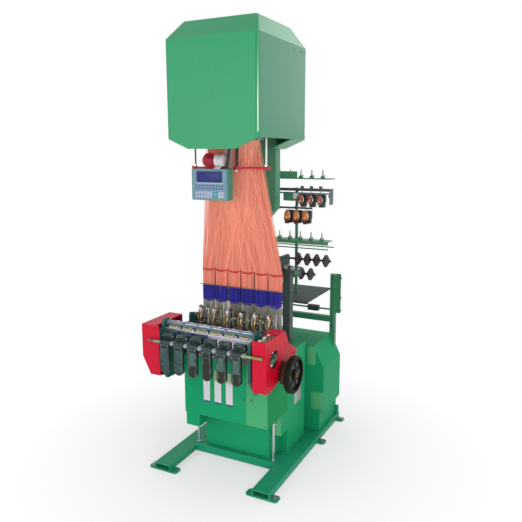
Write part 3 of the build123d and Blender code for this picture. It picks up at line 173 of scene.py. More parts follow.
class Graph:
    """A node tree that is being put together."""

    def __init__(self, tree: bpy.types.NodeTree) -> None:
        """Work on a shader or geometry tree."""
        self.tree = tree

    def feed(self, node: bpy.types.Node, feeds: Feeds) -> None:
        """Set or link a node's inputs.

        Args:
            node: The node.
            feeds: The values, by each input's name or number.
        """
        for key, value in feeds.items():
            if isinstance(value, Value):
                self.tree.links.new(value.socket, node.inputs[key])
            else:
                node.inputs[key].default_value = value

    def add(self, kind: str, feeds: Optional[Feeds] = None, **settings: Any) -> bpy.types.Node:
        """Add a node, set it up and feed its inputs.

        Args:
            kind: The node's type name.
            feeds: Input names or numbers, each with a plain value or another node's output.
            **settings: The node's own settings.

        Returns:
            The node.
        """
        node = self.tree.nodes.new(kind)
        for name, value in settings.items():
            setattr(node, name, value)
        self.feed(node, feeds or {})
        return node

    def out(self, kind: str, feeds: Optional[Feeds] = None, which: Any = 0, **settings: Any) -> Value:
        """Add a node as above and return one of its outputs, given by name or number."""
        return Value(self, self.add(kind, feeds, **settings).outputs[which])

    def inputs(self) -> dict[str, Value]:
        """Add the group's input node and return its outputs by name."""
        return {socket.name: Value(self, socket) for socket in self.add("NodeGroupInput").outputs}

    def math(self, operation: str, *values: Any) -> Value:
        """Add a Math node on up to three values."""
        return self.out("ShaderNodeMath", dict(enumerate(values)), operation=operation)

    def blend(self, share: Any, first: Any, second: Any, mode: str = "MIX") -> Value:
        """Mix two colours by a share."""
        feeds = {0: share, 6: rgba(first), 7: rgba(second)}
        return self.out("ShaderNodeMix", feeds, 2, data_type="RGBA", blend_type=mode)

    def noise(self, place: Value, scale: Any, detail: float = 3.0, roughness: float = 0.5) -> Value:
        """Add a noise on a place."""
        feeds = {"Vector": place, "Scale": scale, "Detail": detail, "Roughness": roughness}
        return self.out("ShaderNodeTexNoise", feeds)

    def mapped(self, place: Value, **feeds: Point) -> Value:
        """Turn a place by its Rotation, in radians, or stretch it by its Scale."""
        return self.out("ShaderNodeMapping", {"Vector": place, **feeds})

    def joined(self, *parts: Value) -> Value:
        """Join geometries.

        Args:
            *parts: The geometries.

        Returns:
            All of them as one.
        """
        node = self.add("GeometryNodeJoinGeometry")
        for part in parts:
            self.tree.links.new(part.socket, node.inputs[0])
        return Value(self, node.outputs[0])


def blank(store: Any, name: str) -> tuple[Any, Graph]:
    """Make a material or a world with an empty node tree.

    Args:
        store: Where Blender keeps its kind.
        name: Its name.

    Returns:
        It, and the graph that fills it.
    """
    made = store.new(name)
    made.use_nodes = True
    made.node_tree.nodes.clear()
    return made, Graph(made.node_tree)


def linked(name: str, data: Any) -> bpy.types.Object:
    """Make an object of its data and put it in the scene.

    Args:
        name: The object's name.
        data: Its mesh, light or camera.

    Returns:
        The object.
    """
    made = bpy.data.objects.new(name, data)
    bpy.context.scene.collection.objects.link(made)
    return made


class Effect(Enum):
    """The surface effects that several finishes share."""

    EDGE_WEAR = "edge_wear"
    DUST = "dust"
    GRAIN = "grain"
    SCRATCHES = "scratches"
    TWIST = "cord_twist"


class Effects:
    """Builds each shared effect once, as a shader node group, and places it in materials."""

    _built: dict[Effect, bpy.types.NodeTree] = {}

    @classmethod
    def place(cls, graph: Graph, effect: Effect, place: Value, scale: float,
              amount: float) -> tuple[Value, Value]:
        """Put an effect in a material.

        Args:
            graph: The material's tree.
            effect: The effect.
            place: The Object coordinates.
            scale: How fine it is.
            amount: How strong it is.

        Returns:
            Its mask and its height.
        """
        if effect not in cls._built:
            cls._built[effect] = cls._make(effect)
        feeds = {"Place": place, "Scale": scale, "Amount": amount}
        node = graph.add("ShaderNodeGroup", feeds, node_tree=cls._built[effect])
        return Value(graph, node.outputs["Mask"]), Value(graph, node.outputs["Height"])

    @classmethod
    def _make(cls, effect: Effect) -> bpy.types.NodeTree:
        """Build one effect's group, with Place, Scale and Amount going in and Mask and Height coming out.

        Args:
            effect: The effect.

        Returns:
            The group.
        """
        tree = bpy.data.node_groups.new(effect.value, "ShaderNodeTree")
        for name, way, kind in (("Place", "INPUT", "Vector"), ("Scale", "INPUT", "Float"),
                                ("Amount", "INPUT", "Float"), ("Mask", "OUTPUT", "Float"),
                                ("Height", "OUTPUT", "Float")):
            tree.interface.new_socket(name, in_out=way, socket_type=f"NodeSocket{kind}")
        graph = Graph(tree)
        given = graph.inputs()
        builders = {Effect.EDGE_WEAR: cls._edge_wear, Effect.DUST: cls._dust, Effect.GRAIN: cls._grain,
                    Effect.SCRATCHES: cls._scratches, Effect.TWIST: cls._twist}
        mask, height = builders[effect](graph, given["Place"], given["Scale"], given["Amount"])
        graph.add("NodeGroupOutput", {"Mask": mask, "Height": height})
        return tree

    @staticmethod
    def _edge_wear(graph: Graph, place: Value, scale: Value, amount: Value) -> tuple[Value, Value]:
        """Bare edges: where the rounded normal leaves the true one, broken up by noise.

        Args:
            graph: The group's tree.
            place: Where the pattern is read.
            scale: How fine it is.
            amount: How strong it is.

        Returns:
            The mask and the height.
        """
        rounded = graph.out("ShaderNodeBevel", {"Radius": WORN_EDGE}, samples=4)
        flat = graph.out("ShaderNodeNewGeometry", which="Normal")
        facing = graph.out("ShaderNodeVectorMath", {0: rounded, 1: flat}, "Value", operation="DOT_PRODUCT")
        broken = graph.noise(place, scale, 5.0).ramp(0.42, 0.62)
        mask = (facing.ramp(0.995, 0.86) * broken * amount).clamped()
        return mask, mask * -1.0

    @staticmethod
    def _dust(graph: Graph, place: Value, scale: Value, amount: Value) -> tuple[Value, Value]:
        """Lint and dust that settle on what faces up.

        Args:
            graph: The group's tree.
            place: Where the pattern is read.
            scale: How fine it is.
            amount: How strong it is.

        Returns:
            The mask and the height.
        """
        settled = graph.out("ShaderNodeNewGeometry", which="Normal").part(2).ramp(0.35, 0.95)
        mask = (settled * graph.noise(place, scale, 6.0).ramp(0.35, 0.75) * amount).clamped()
        return mask, mask * 0.2

    @staticmethod
    def _grain(graph: Graph, place: Value, scale: Value, amount: Value) -> tuple[Value, Value]:
        """Uneven tone in broad patches, with a fine grain on top.

        Args:
            graph: The group's tree.
            place: Where the pattern is read.
            scale: How fine it is.
            amount: How strong it is.

        Returns:
            The tone and the height.
        """
        fine = graph.noise(place, scale * 6.0, 2.0)
        tone = graph.noise(place, scale * 0.12, 4.0) * 0.8 + fine * 0.2
        return ((tone - 0.5) * amount + 0.5).clamped(), fine

    @staticmethod
    def _scratches(graph: Graph, place: Value, scale: Value, amount: Value) -> tuple[Value, Value]:
        """Fine rubbed lines in two directions.

        Args:
            graph: The group's tree.
            place: Where the pattern is read.
            scale: How fine it is.
            amount: How strong it is.

        Returns:
            The mask and the height.
        """
        ways = (((0.3, 0.2, 0.5), (1.0, 22.0, 1.0)), ((0.9, 0.1, 1.3), (24.0, 1.0, 1.0)))
        lines = [graph.noise(graph.mapped(place, Rotation=turn, Scale=stretch), scale, 2.0).ramp(0.66, 0.74)
                 for turn, stretch in ways]
        mask = (graph.math("MAXIMUM", *lines) * amount).clamped()
        return mask, mask * -1.0

    @staticmethod
    def _twist(graph: Graph, place: Value, scale: Value, amount: Value) -> tuple[Value, Value]:
        """The slanting ridges of twisted yarn.

        Args:
            graph: The group's tree.
            place: Where the pattern is read.
            scale: How fine it is.
            amount: How strong it is.

        Returns:
            The tone and the height.
        """
        feeds = {"Vector": graph.mapped(place, Rotation=(0.0, 0.55, 0.3)), "Scale": scale, "Distortion": 1.5}
        ridge = graph.out("ShaderNodeTexWave", feeds, 1, bands_direction="Z")
        return ((ridge - 0.5) * amount + 0.5).clamped(), ridge


@dataclass(frozen=True)
class Finish:
    """A finish: what its surface is made of and how it has worn.

    Attributes:
        name: The material's name.
        colour: The main colour.
        shade: The colour that the uneven tone leans to.
        roughness: How matt it is.
        metallic: 1 for bare metal.
        coat: The strength of a clear gloss on top.
        worn: The colour under worn edges.
        wear: How much the edges are worn.
        dust: How much dust lies on it.
        grain: The scale of its uneven tone.
        bump: The height of its fine grain.
        specular: How strongly it mirrors face on.
    """

    name: str
    colour: Colour
    shade: Colour
    roughness: float = 0.4
    metallic: float = 0.0
    coat: float = 0.0
    worn: Colour = (0.42, 0.45, 0.42)
    wear: float = 0.5
    dust: float = 0.25
    grain: float = 22.0
    bump: float = 0.05
    specular: float = 0.3

    def make(self) -> bpy.types.Material:
        """Build the finish's material the first time it is asked for.

        Returns:
            The material.
        """
        known = bpy.data.materials.get(self.name)
        if known:
            return known
        material, graph = blank(bpy.data.materials, self.name)
        shader = graph.add("ShaderNodeBsdfPrincipled")
        graph.add("ShaderNodeOutputMaterial", {"Surface": Value(graph, shader.outputs[0])})
        self.dress(graph, graph.out("ShaderNodeTexCoord", which="Object"), shader)
        return material

    def dress(self, graph: Graph, place: Value, shader: bpy.types.Node) -> None:
        """Feed the shader with tone, wear, dust and grain.

        Args:
            graph: The material's tree.
            place: The Object coordinates.
            shader: The Principled shader.
        """
        tone, grain = Effects.place(graph, Effect.GRAIN, place, self.grain, TONE_STRENGTH)
        wear, worn_away = Effects.place(graph, Effect.EDGE_WEAR, place, WEAR_SCALE, self.wear)
        dust, _ = Effects.place(graph, Effect.DUST, place, DUST_SCALE, self.dust)
        main = self.pattern(graph, place)
        shaded: Any = self.shade
        if isinstance(main, Value):
            lean = tuple(min(1.0, low / max(high, 0.004)) for low, high in zip(self.shade, self.colour))
            shaded = graph.blend(1.0, main, lean, "MULTIPLY")
        lint = tuple(0.6 * part + 0.14 for part in self.colour)
        bare = graph.blend(wear, graph.blend(tone, shaded, main), self.worn)
        height = self.relief(graph, place, grain) + worn_away * 0.6
        bump = graph.out("ShaderNodeBump", {"Height": height, "Strength": 0.5, "Distance": self.bump * MM})
        graph.feed(shader, {
            "Base Color": graph.blend(dust, bare, lint), "Normal": bump, "Metallic": self.metallic,
            "Roughness": (tone * 0.14 + self.roughness - 0.07 + dust * 0.35).clamped(),
            "Specular IOR Level": self.specular, "Coat Weight": self.coat, "Coat Roughness": COAT_ROUGHNESS})

    def pattern(self, graph: Graph, place: Value) -> Any:
        """Return the main colour, which a patterned finish varies."""
        return self.colour

    def relief(self, graph: Graph, place: Value, grain: Value) -> Value:
        """Return the height that the surface's own grain has."""
        return grain


@dataclass(frozen=True)
class Brushed(Finish):
    """Bare metal with rubbed lines along one direction."""

    along: Point = (1.0, 1.0, 30.0)

    def relief(self, graph: Graph, place: Value, grain: Value) -> Value:
        """Return the height of the rubbed lines, with scratches across them."""
        lines = graph.noise(graph.mapped(place, Scale=self.along), 60.0, 2.0, 0.55)
        return lines + Effects.place(graph, Effect.SCRATCHES, place, SCRATCH_SCALE, 0.8)[1]


@dataclass(frozen=True)
class Yarn(Finish):
    """Twisted cord or yarn, each strand with its own tone, darker on a bundle's outer strands as painted
    shade, and painted paler above one height, as painted light, if that is given.
    """

    wear: float = 0.0
    dust: float = 0.0
    twist: float = 240.0
    spread: float = 0.5
    painted_light_from: float = 9.0
    painted_light_span: float = 0.1

    def pattern(self, graph: Graph, place: Value) -> Value:
        """Vary the colour by each strand's own tone, darker on a bundle's outer strands as painted shade, and
        paint it paler above one height as painted light.

        Args:
            graph: The material's tree.
            place: Where the pattern is read.

        Returns:
            The colour.
        """
        strand = graph.out("ShaderNodeAttribute", which="Fac", attribute_name="strand_tone")
        light = tuple(min(1.0, part * 1.35 + 0.03) for part in self.colour)
        dark = tuple(part * 0.55 for part in self.colour)
        own = graph.blend(strand * self.spread, self.colour, light)
        # A low tone darkens a strand: at random, and on a bundle's outer strands as painted shade.
        shaded = graph.blend(strand.ramp(0.22, 0.0) * self.spread, own, dark)
        # Above the given height the strands are painted paler: painted light on the harness top under the
        # hood.
        return graph.blend(place.part(2).ramp(self.painted_light_from, self.painted_light_from + self.painted_light_span), shaded, light)

    def relief(self, graph: Graph, place: Value, grain: Value) -> Value:
        """Return the height of the twist."""
        return Effects.place(graph, Effect.TWIST, place, self.twist, 1.0)[1]


@dataclass(frozen=True)
class Weave(Finish):
    """Woven tape: warp and weft crossing, with a coloured end below and a shaded part above."""

    band_colour: Colour = (0.05, 0.05, 0.35)
    band_top: float = 0.426
    shaded_from: float = 0.556
    shaded_colour: Colour = (0.34, 0.42, 0.24)
    pitch: float = 700.0

    def pattern(self, graph: Graph, place: Value) -> Value:
        """Colour the tape, with the coloured end below its band.

        Args:
            graph: The material's tree.
            place: Where the pattern is read.

        Returns:
            The colour.
        """
        height = place.part(2) + graph.noise(place, 30.0, 3.0, 0.55) * 0.012
        threads = graph.out("ShaderNodeTexWave", {"Vector": place, "Scale": self.pitch, "Distortion": 0.4}, 1,
                            bands_direction="X")
        plain = graph.blend(threads * 0.35, self.colour, self.shade)
        upper = graph.blend(height.ramp(self.shaded_from, self.shaded_from + 0.02), plain, self.shaded_colour)
        return graph.blend(height.ramp(self.band_top + 0.004, self.band_top + 0.008), self.band_colour, upper)

    def relief(self, graph: Graph, place: Value, grain: Value) -> Value:
        """Raise the crossing threads.

        Args:
            graph: The material's tree.
            place: Where the pattern is read.
            grain: The fine grain, not used here.

        Returns:
            The height.
        """
        feeds = {"Vector": place, "Scale": self.pitch}
        waves = (graph.out("ShaderNodeTexWave", feeds, 1, bands_direction=way) for way in "XZ")
        return graph.math("MAXIMUM", *waves)


@dataclass(frozen=True)
class Banded(Finish):
    """A finish that changes along one axis, such as a shaft that carries a painted collar; several faces here
    also take bands of painted light and shade.

    Attributes:
        axis: 0, 1 or 2 for X, Y or Z.
        bands: From the low end, each place in metres where a colour starts, and that colour.
        fade: The length over which one colour turns into the next.
    """

    axis: int = 0
    bands: tuple[tuple[float, Colour], ...] = ()
    fade: float = 0.0005

    def pattern(self, graph: Graph, place: Value) -> Value:
        """Colour each point by the band that it lies in.

        Args:
            graph: The material's tree.
            place: Where the pattern is read.

        Returns:
            The colour.
        """
        along, colour = place.part(self.axis), self.colour
        for start, band in self.bands:
            colour = graph.blend(along.ramp(start, start + self.fade), colour, band)
        return colour


@dataclass(frozen=True)
class Lens(Finish):
    """Clear tinted plastic that lets light through."""

    through: float = 0.85

    def dress(self, graph: Graph, place: Value, shader: bpy.types.Node) -> None:
        """Dress the shader as any finish, then let light through it."""
        super().dress(graph, place, shader)
        graph.feed(shader, {"Transmission Weight": self.through, "IOR": 1.2})


MACHINE_GREEN = Finish("machine_green_enamel", srgb(34, 160, 110), srgb(18, 144, 92), 0.5, wear=0.4,
                       worn=srgb(150, 180, 160), dust=0.1, grain=9.0, specular=0.08)
# The band from X 0.2812 paints the hood's right side face a duller green: painted shade. The pale worn colour
# on the bevelled edges is edge wear and also a painted edge highlight.
HOOD_GREEN = Banded("hood_green_enamel", srgb(48, 158, 106), srgb(34, 140, 92), 0.36, coat=0.05, wear=0.35,
                    worn=srgb(160, 190, 165), dust=0.1, grain=7.0, specular=0.25,
                    bands=((0.2812, srgb(62, 142, 106)),))
# The finish of a thin strip on the hood's front right corner: a painted highlight line, palest low down and
# fading into the hood's green higher up.
HOOD_EDGE_HIGHLIGHT = Banded("hood_edge_painted_highlight", srgb(206, 240, 214), srgb(170, 226, 184), 0.3, coat=0.3, wear=0.0,
                   dust=0.0, grain=30.0, axis=2,
                   bands=((2.16, srgb(120, 200, 150)), (2.3, srgb(64, 168, 112))), fade=0.14)
# Painted light and shade on the front housing: its front face is painted lighter from X 0.146 on, and its
# right side face, from X 0.2836, painted darker.
FRONT_GREEN = Banded("front_housing_enamel", srgb(34, 160, 110), srgb(18, 144, 92), 0.5, wear=0.4,
                     worn=srgb(150, 180, 160), dust=0.1, grain=9.0, specular=0.04,
                     bands=((0.146, srgb(88, 174, 122)), (0.2836, srgb(0, 138, 80))))
RAIL_GREEN = Finish("rail_green_enamel", srgb(18, 152, 112), srgb(8, 132, 92), 0.5, coat=0.05, wear=0.9,
                    worn=srgb(140, 150, 145), dust=0.15, grain=12.0, specular=0.2)
SPINE_GREEN = Finish("spine_green_enamel", srgb(90, 152, 120), srgb(70, 134, 100), 0.5, coat=0.05, grain=8.0)
POST_GREEN = Finish("post_green_enamel", srgb(60, 138, 98), srgb(40, 112, 78), 0.46, coat=0.05, wear=0.7,
                    grain=14.0)
PANEL_GREEN = Banded("panel_case_green_enamel", srgb(80, 150, 126), srgb(62, 132, 108), 0.46, coat=0.05,
                     grain=20.0, axis=2, bands=((1.812, srgb(190, 150, 144)),))
# The band from X 0.3962 paints the right cover's side face a deeper, darker red: painted shade on that face.
CRIMSON = Banded("cover_crimson_enamel", srgb(206, 20, 54), srgb(188, 10, 42), 0.42, coat=0.05, wear=0.35,
                 worn=srgb(150, 90, 90), dust=0.05, grain=11.0, specular=0.15,
                 bands=((0.3962, srgb(204, 2, 40)),))
DARK_GREEN = Finish("frame_dark_green_enamel", srgb(40, 94, 90), srgb(28, 70, 66), 0.45, coat=0.1, wear=0.6,
                    grain=18.0)
LEVER_DARK = Finish("lever_dark_enamel", srgb(32, 58, 54), srgb(20, 40, 38), 0.4, coat=0.15, wear=0.9,
                    worn=srgb(150, 176, 170), dust=0.0, grain=30.0)
LEVER_GREY = Finish("lever_grey_green_strip", srgb(72, 104, 98), srgb(52, 78, 74), 0.4, coat=0.1, dust=0.0,
                    grain=30.0)
LEVER_TEAL = Finish("lever_dark_teal_strip", srgb(46, 84, 82), srgb(32, 62, 62), 0.4, coat=0.1, dust=0.0,
                    grain=30.0)
LEVER_BROWN = Finish("lever_dark_brown_pad", srgb(40, 38, 28), srgb(24, 24, 16), 0.5, wear=0.2, dust=0.0,
                     grain=40.0)
NEAR_BLACK = Finish("dark_grey_green_enamel", srgb(76, 96, 90), srgb(50, 66, 62), 0.5, dust=0.1, grain=20.0)
WHITE_ENAMEL = Finish("white_enamel", srgb(226, 226, 236), srgb(205, 206, 220), 0.35, coat=0.2, wear=0.3,
                      grain=16.0)
DARK_GREY = Finish("dark_grey_enamel", srgb(62, 80, 74), srgb(46, 60, 56), 0.6, wear=0.6, dust=0.1,
                   grain=16.0, specular=0.12)
CHROME = Brushed("chrome", srgb(214, 218, 224), srgb(176, 182, 190), 0.16, metallic=1.0, wear=0.1, dust=0.1,
                 grain=40.0)
BARE_STEEL = Brushed("bare_steel", srgb(168, 172, 174), srgb(128, 132, 134), 0.34, metallic=0.95, wear=0.2,
                     grain=26.0)
DARK_STEEL = Brushed("dark_steel", srgb(112, 112, 98), srgb(70, 72, 62), 0.4, metallic=0.5,
                     worn=srgb(180, 180, 170), dust=0.1, grain=34.0)
UNIT_STEEL = Banded("weaving_unit_steel", srgb(104, 108, 100), srgb(68, 72, 64), 0.4, metallic=0.4, wear=0.8,
                    worn=srgb(190, 190, 176), dust=0.1, grain=36.0, axis=2,
                    bands=((0.9, srgb(160, 162, 154)),), fade=0.03)
RAIL_STEEL = Brushed("feeder_rail_blue_grey", srgb(98, 112, 116), srgb(66, 78, 82), 0.4, metallic=0.4,
                     wear=0.4, dust=0.05, grain=30.0)
# Teal steel whose tone patches lean violet: a painted violet reflection on the teal.
TEAL_STEEL = Brushed("teal_steel_painted_violet_sheen", srgb(96, 146, 144), srgb(112, 112, 142), 0.28, metallic=0.35,
                     wear=0.4, worn=srgb(220, 226, 230), dust=0.05, grain=24.0, along=(30.0, 1.0, 1.0))
# Pale pink steel whose pink is a painted reflection: on the beam it makes pink highlight lines, and a few
# small parts in the units take it too.
PINK_SHEEN_STEEL = Brushed("steel_painted_pink_sheen", srgb(224, 196, 212), srgb(158, 146, 192), 0.24, metallic=0.4,
                     wear=0.2, dust=0.0, grain=30.0, along=(30.0, 1.0, 1.0))
BRASS = Brushed("brass", srgb(216, 188, 124), srgb(168, 136, 78), 0.28, metallic=0.8, wear=0.2, grain=40.0)
CREAM_BLOCK = Finish("cream_guide_plastic", srgb(190, 190, 156), srgb(142, 150, 112), 0.5, wear=0.4,
                     grain=34.0)
CERAMIC = Finish("white_ceramic", srgb(238, 238, 234), srgb(216, 216, 210), 0.25, coat=0.3, wear=0.0,
                 dust=0.1)
LAMP_WHITE = Finish("lamp_pale_plastic", srgb(222, 216, 218), srgb(200, 194, 200), 0.42, wear=0.2, dust=0.0,
                    grain=26.0)
LAMP_CORE = Finish("lamp_brown_reflector", srgb(150, 104, 84), srgb(110, 74, 60), 0.5, wear=0.0, dust=0.0,
                   grain=50.0)
BAR_RED = Finish("bar_red_enamel", srgb(206, 36, 48), srgb(176, 26, 38), 0.4, coat=0.1, dust=0.0, grain=30.0)
TIE_RED = Finish("tie_red_plastic", srgb(206, 40, 44), srgb(176, 28, 34), 0.45, wear=0.0, dust=0.0,
                 grain=40.0)
RUBBER = Finish("dark_cable_rubber", srgb(60, 60, 68), srgb(38, 38, 46), 0.6, wear=0.0, dust=0.1, grain=30.0,
                bump=0.1)
CASE_GREEN = Finish("feeder_case_green", srgb(62, 92, 84), srgb(42, 64, 58), 0.45, dust=0.05, grain=30.0)
HOUSING_BLACK = Finish("feeder_dark_plastic", srgb(50, 60, 58), srgb(32, 40, 40), 0.45, wear=0.3, dust=0.05,
                       grain=30.0)
ROLLER = Finish("roller_brown_violet", srgb(72, 58, 68), srgb(46, 38, 46), 0.5, coat=0.05, wear=0.4,
                worn=srgb(120, 108, 112), dust=0.05, grain=26.0)
WHEEL = Finish("handwheel_black_green", srgb(22, 26, 14), srgb(10, 14, 6), 0.55, wear=0.4,
               worn=srgb(80, 76, 44), dust=0.0, grain=26.0, bump=0.12, specular=0.12)
BEZEL = Finish("panel_grey_blue_face", srgb(120, 150, 174), srgb(102, 134, 158), 0.5, wear=0.0, dust=0.0,
               grain=30.0)
SCREEN = Finish("navy_screen", srgb(26, 30, 124), srgb(20, 24, 98), 0.4, coat=0.05, wear=0.0, dust=0.0,
                grain=60.0)
KEY_LILAC = Finish("key_lilac", srgb(196, 200, 224), srgb(176, 182, 210), 0.5, wear=0.0, dust=0.0, grain=60.0)
KEY_CYAN = Finish("key_cyan", srgb(60, 168, 180), srgb(40, 146, 160), 0.5, wear=0.0, dust=0.0, grain=60.0)
KEY_CREAM = Finish("key_cream", srgb(214, 214, 196), srgb(196, 196, 176), 0.5, wear=0.0, dust=0.0, grain=60.0)
KEY_NAVY = Finish("key_navy_mark", srgb(60, 64, 120), srgb(44, 46, 100), 0.5, wear=0.0, dust=0.0, grain=60.0)
BARE_PLATE = Finish("creased_grey_plate", srgb(172, 180, 176), srgb(146, 156, 150), 0.35, metallic=0.3,
                    grain=60.0, bump=1.2)
PALE_GREEN = Finish("pale_green_enamel", srgb(92, 180, 124), srgb(74, 164, 108), 0.45, coat=0.05, dust=0.05,
                    grain=12.0)
# The salmon cords are painted paler from 1.86 m up: painted light at the harness top under the hood.
SALMON = Yarn("salmon_harness_cord", srgb(255, 174, 146), srgb(252, 136, 120), 0.85, grain=12.0, specular=0.2,
              painted_light_from=1.86)
NAVY = Yarn("navy_harness_cord", srgb(54, 50, 168), srgb(40, 36, 140), 0.6, grain=18.0, spread=0.3)
HEDDLE = Yarn("heddle_wire", srgb(192, 190, 178), srgb(146, 146, 134), 0.5, metallic=0.1, twist=500.0,
              spread=0.9)
WARP = Yarn("white_warp_yarn", srgb(214, 212, 204), srgb(186, 184, 176), 0.75, twist=600.0)
COPPER_YARN = Yarn("copper_pink_yarn", srgb(214, 124, 98), srgb(176, 82, 68), 0.6, twist=300.0)
ORANGE_YARN = Yarn("orange_yellow_yarn", srgb(252, 176, 92), srgb(232, 118, 60), 0.6, twist=300.0)
RUST_YARN = Yarn("rust_brown_yarn", srgb(150, 70, 52), srgb(110, 46, 38), 0.6, twist=300.0)
TAPE = Weave("woven_white_tape", srgb(226, 226, 226), srgb(196, 200, 204), 0.75, wear=0.0, dust=0.0,
             bump=0.15, band_colour=srgb(36, 56, 116))
SHAFT = Banded("shaft_with_dark_pulley", srgb(206, 208, 210), srgb(170, 172, 176), 0.3, metallic=0.6,
               grain=40.0, bands=((0.397, srgb(30, 44, 36)), (0.4295, srgb(206, 208, 210))))
COLLAR_ORANGE = Finish("orange_collar_enamel", srgb(250, 134, 60), srgb(232, 96, 36), 0.4, coat=0.1, dust=0.0,
                       grain=40.0)
# The pale blue-white middle band, from X -0.262 to 0.275, paints white-blue glints on the rod and its
# collars: a painted highlight.
LEVER_ROD = Banded("lever_rod_bronze_ends", srgb(116, 104, 94), srgb(92, 84, 74), 0.34, metallic=0.3,
                   wear=0.3, grain=30.0,
                   bands=((-0.306, srgb(140, 168, 124)), (-0.262, srgb(168, 176, 190)),
                          (0.275, srgb(156, 176, 130)), (0.316, srgb(146, 146, 80))))
LAMP_RED = Lens("lamp_red_lens", srgb(250, 96, 122), srgb(236, 62, 92), 0.25, coat=0.2, wear=0.0, dust=0.0,
                grain=30.0)


def harvest(mesh: bmesh.types.BMesh, bevel: float = 0.0, segments: int = 2) -> Shape:
    """Round a closed mesh's edges, point its faces outwards and free it.

    Args:
        mesh: The mesh.
        bevel: How far its edges are cut back.
        segments: The faces across each edge.

    Returns:
        Its points and faces.
    """
    bmesh.ops.recalc_face_normals(mesh, faces=mesh.faces)
    if bevel:
        bmesh.ops.bevel(mesh, geom=mesh.edges[:], offset=bevel, segments=segments, profile=0.6,
                        affect="EDGES")
        bmesh.ops.recalc_face_normals(mesh, faces=mesh.faces)
    mesh.verts.index_update()
    points = tuple(tuple(vert.co) for vert in mesh.verts)
    faces = tuple(tuple(vert.index for vert in face.verts) for face in mesh.faces)
    mesh.free()
    return points, faces


@lru_cache(maxsize=None)
def rounded_block(width: float, depth: float, height: float, bevel: float, segments: int = 2) -> Shape:
    """A block around the origin.

    Args:
        width: Its size along X.
        depth: Its size along Y.
        height: Its size along Z.
        bevel: How far its edges are cut back.
        segments: The faces across each edge.

    Returns:
        The block.
    """
    mesh = bmesh.new()
    bmesh.ops.create_cube(mesh, size=1.0)
    bmesh.ops.scale(mesh, vec=(width, depth, height), verts=mesh.verts)
    return harvest(mesh, bevel, segments)


def loft(rows: Sequence[Sequence[Any]], closed: bool = False, bevel: float = 0.0) -> Shape:
    """Skin a row of outlines that have as many points each.

    Args:
        rows: The points of each outline, in order.
        closed: Whether the last outline joins the first; otherwise both ends are capped.
        bevel: The rounding of the edges, 0 for none.

    Returns:
        The shape's points and faces.
    """
    mesh = bmesh.new()
    rings = [[mesh.verts.new(point) for point in row] for row in rows]
    count = len(rings[0])
    for near, far in zip(rings, rings[1:] + rings[:1] if closed else rings[1:]):
        for i in range(count):
            j = (i + 1) % count
            mesh.faces.new((near[i], near[j], far[j], far[i]))
    if not closed:
        mesh.faces.new(rings[0])
        mesh.faces.new(rings[-1])
    return harvest(mesh, bevel)


def around(steps: int, count: Optional[int] = None) -> list[tuple[float, float]]:
    """The cosine and sine of each of a full turn's steps, or of the first few of them."""
    angles = [math.tau * i / steps for i in range(count or steps)]
    return [(math.cos(angle), math.sin(angle)) for angle in angles]


@lru_cache(maxsize=None)
def turned(profile: tuple[tuple[float, float], ...], steps: int) -> Shape:
    """A shape turned about Z from points as (radius, height), from the bottom up, with flat ends."""
    return loft([[(radius * cos, radius * sin, z) for cos, sin in around(steps)] for radius, z in profile])


def ring(profile: Outline, steps: int) -> Shape:
    """A ring turned about Z from a closed profile of (radius, height) points."""
    rows = [[(radius * cos, radius * sin, z) for radius, z in profile] for cos, sin in around(steps)]
    return loft(rows, closed=True)


def prism(outline: Outline, height: float, bevel: float = 0.0) -> Shape:
    """An outline in (X, Y) raised along Z from 0, with its edges broken."""
    return loft([[(x, y, z) for x, y in outline] for z in (0.0, height)], bevel=bevel)


def tube(points: Iterable[Point], radius: float, sides: int = 8, closed: bool = False,
         flat: float = 1.0) -> Shape:
    """A tube that follows points.

    Args:
        points: The points of its centreline.
        radius: Its radius.
        sides: How many sides it has.
        closed: Whether it joins its own start.
        flat: Its height over its width.

    Returns:
        The tube's points and faces.
    """
    path = [Vector(point) for point in points]
    across = Vector((0, 0, 1)).cross(path[1] - path[0])
    if across.length < 1e-6:
        across = Vector((1, 0, 0))
    rows = []
    for i, here in enumerate(path):
        after = path[(i + 1) % len(path)] if closed or i + 1 < len(path) else here
        before = path[i - 1] if closed or i > 0 else here
        along = (after - before).normalized()
        across = (across - along * across.dot(along)).normalized()
        up = along.cross(across)
        rows.append([here + radius * (cos * across + flat * sin * up) for cos, sin in around(sides)])
    return loft(rows, closed)


def rounded_outline(width: float, height: float, radius: float, steps: int = 5) -> list[tuple[float, float]]:
    """A rectangle around the origin with round corners.

    Args:
        width: Its first size.
        height: Its second size.
        radius: The corners' radius.
        steps: The steps in each corner.

    Returns:
        Its points.
    """
    x, y = width / 2 - radius, height / 2 - radius
    points = []
    for cx, cy, start in ((x, y, 0), (-x, y, 90), (-x, -y, 180), (x, -y, 270)):
        angles = [math.radians(start + 90 * i / steps) for i in range(steps + 1)]
        points += [(cx + radius * math.cos(angle), cy + radius * math.sin(angle)) for angle in angles]
    return points


def toothed(radius: float, teeth: int, depth: float) -> list[tuple[float, float]]:
    """A gear's outline, with teeth of a depth."""
    rim = [(radius - (depth if i % 2 else 0), math.pi * i / teeth) for i in range(2 * teeth)]
    return [(reach * math.cos(angle), reach * math.sin(angle)) for reach, angle in rim]


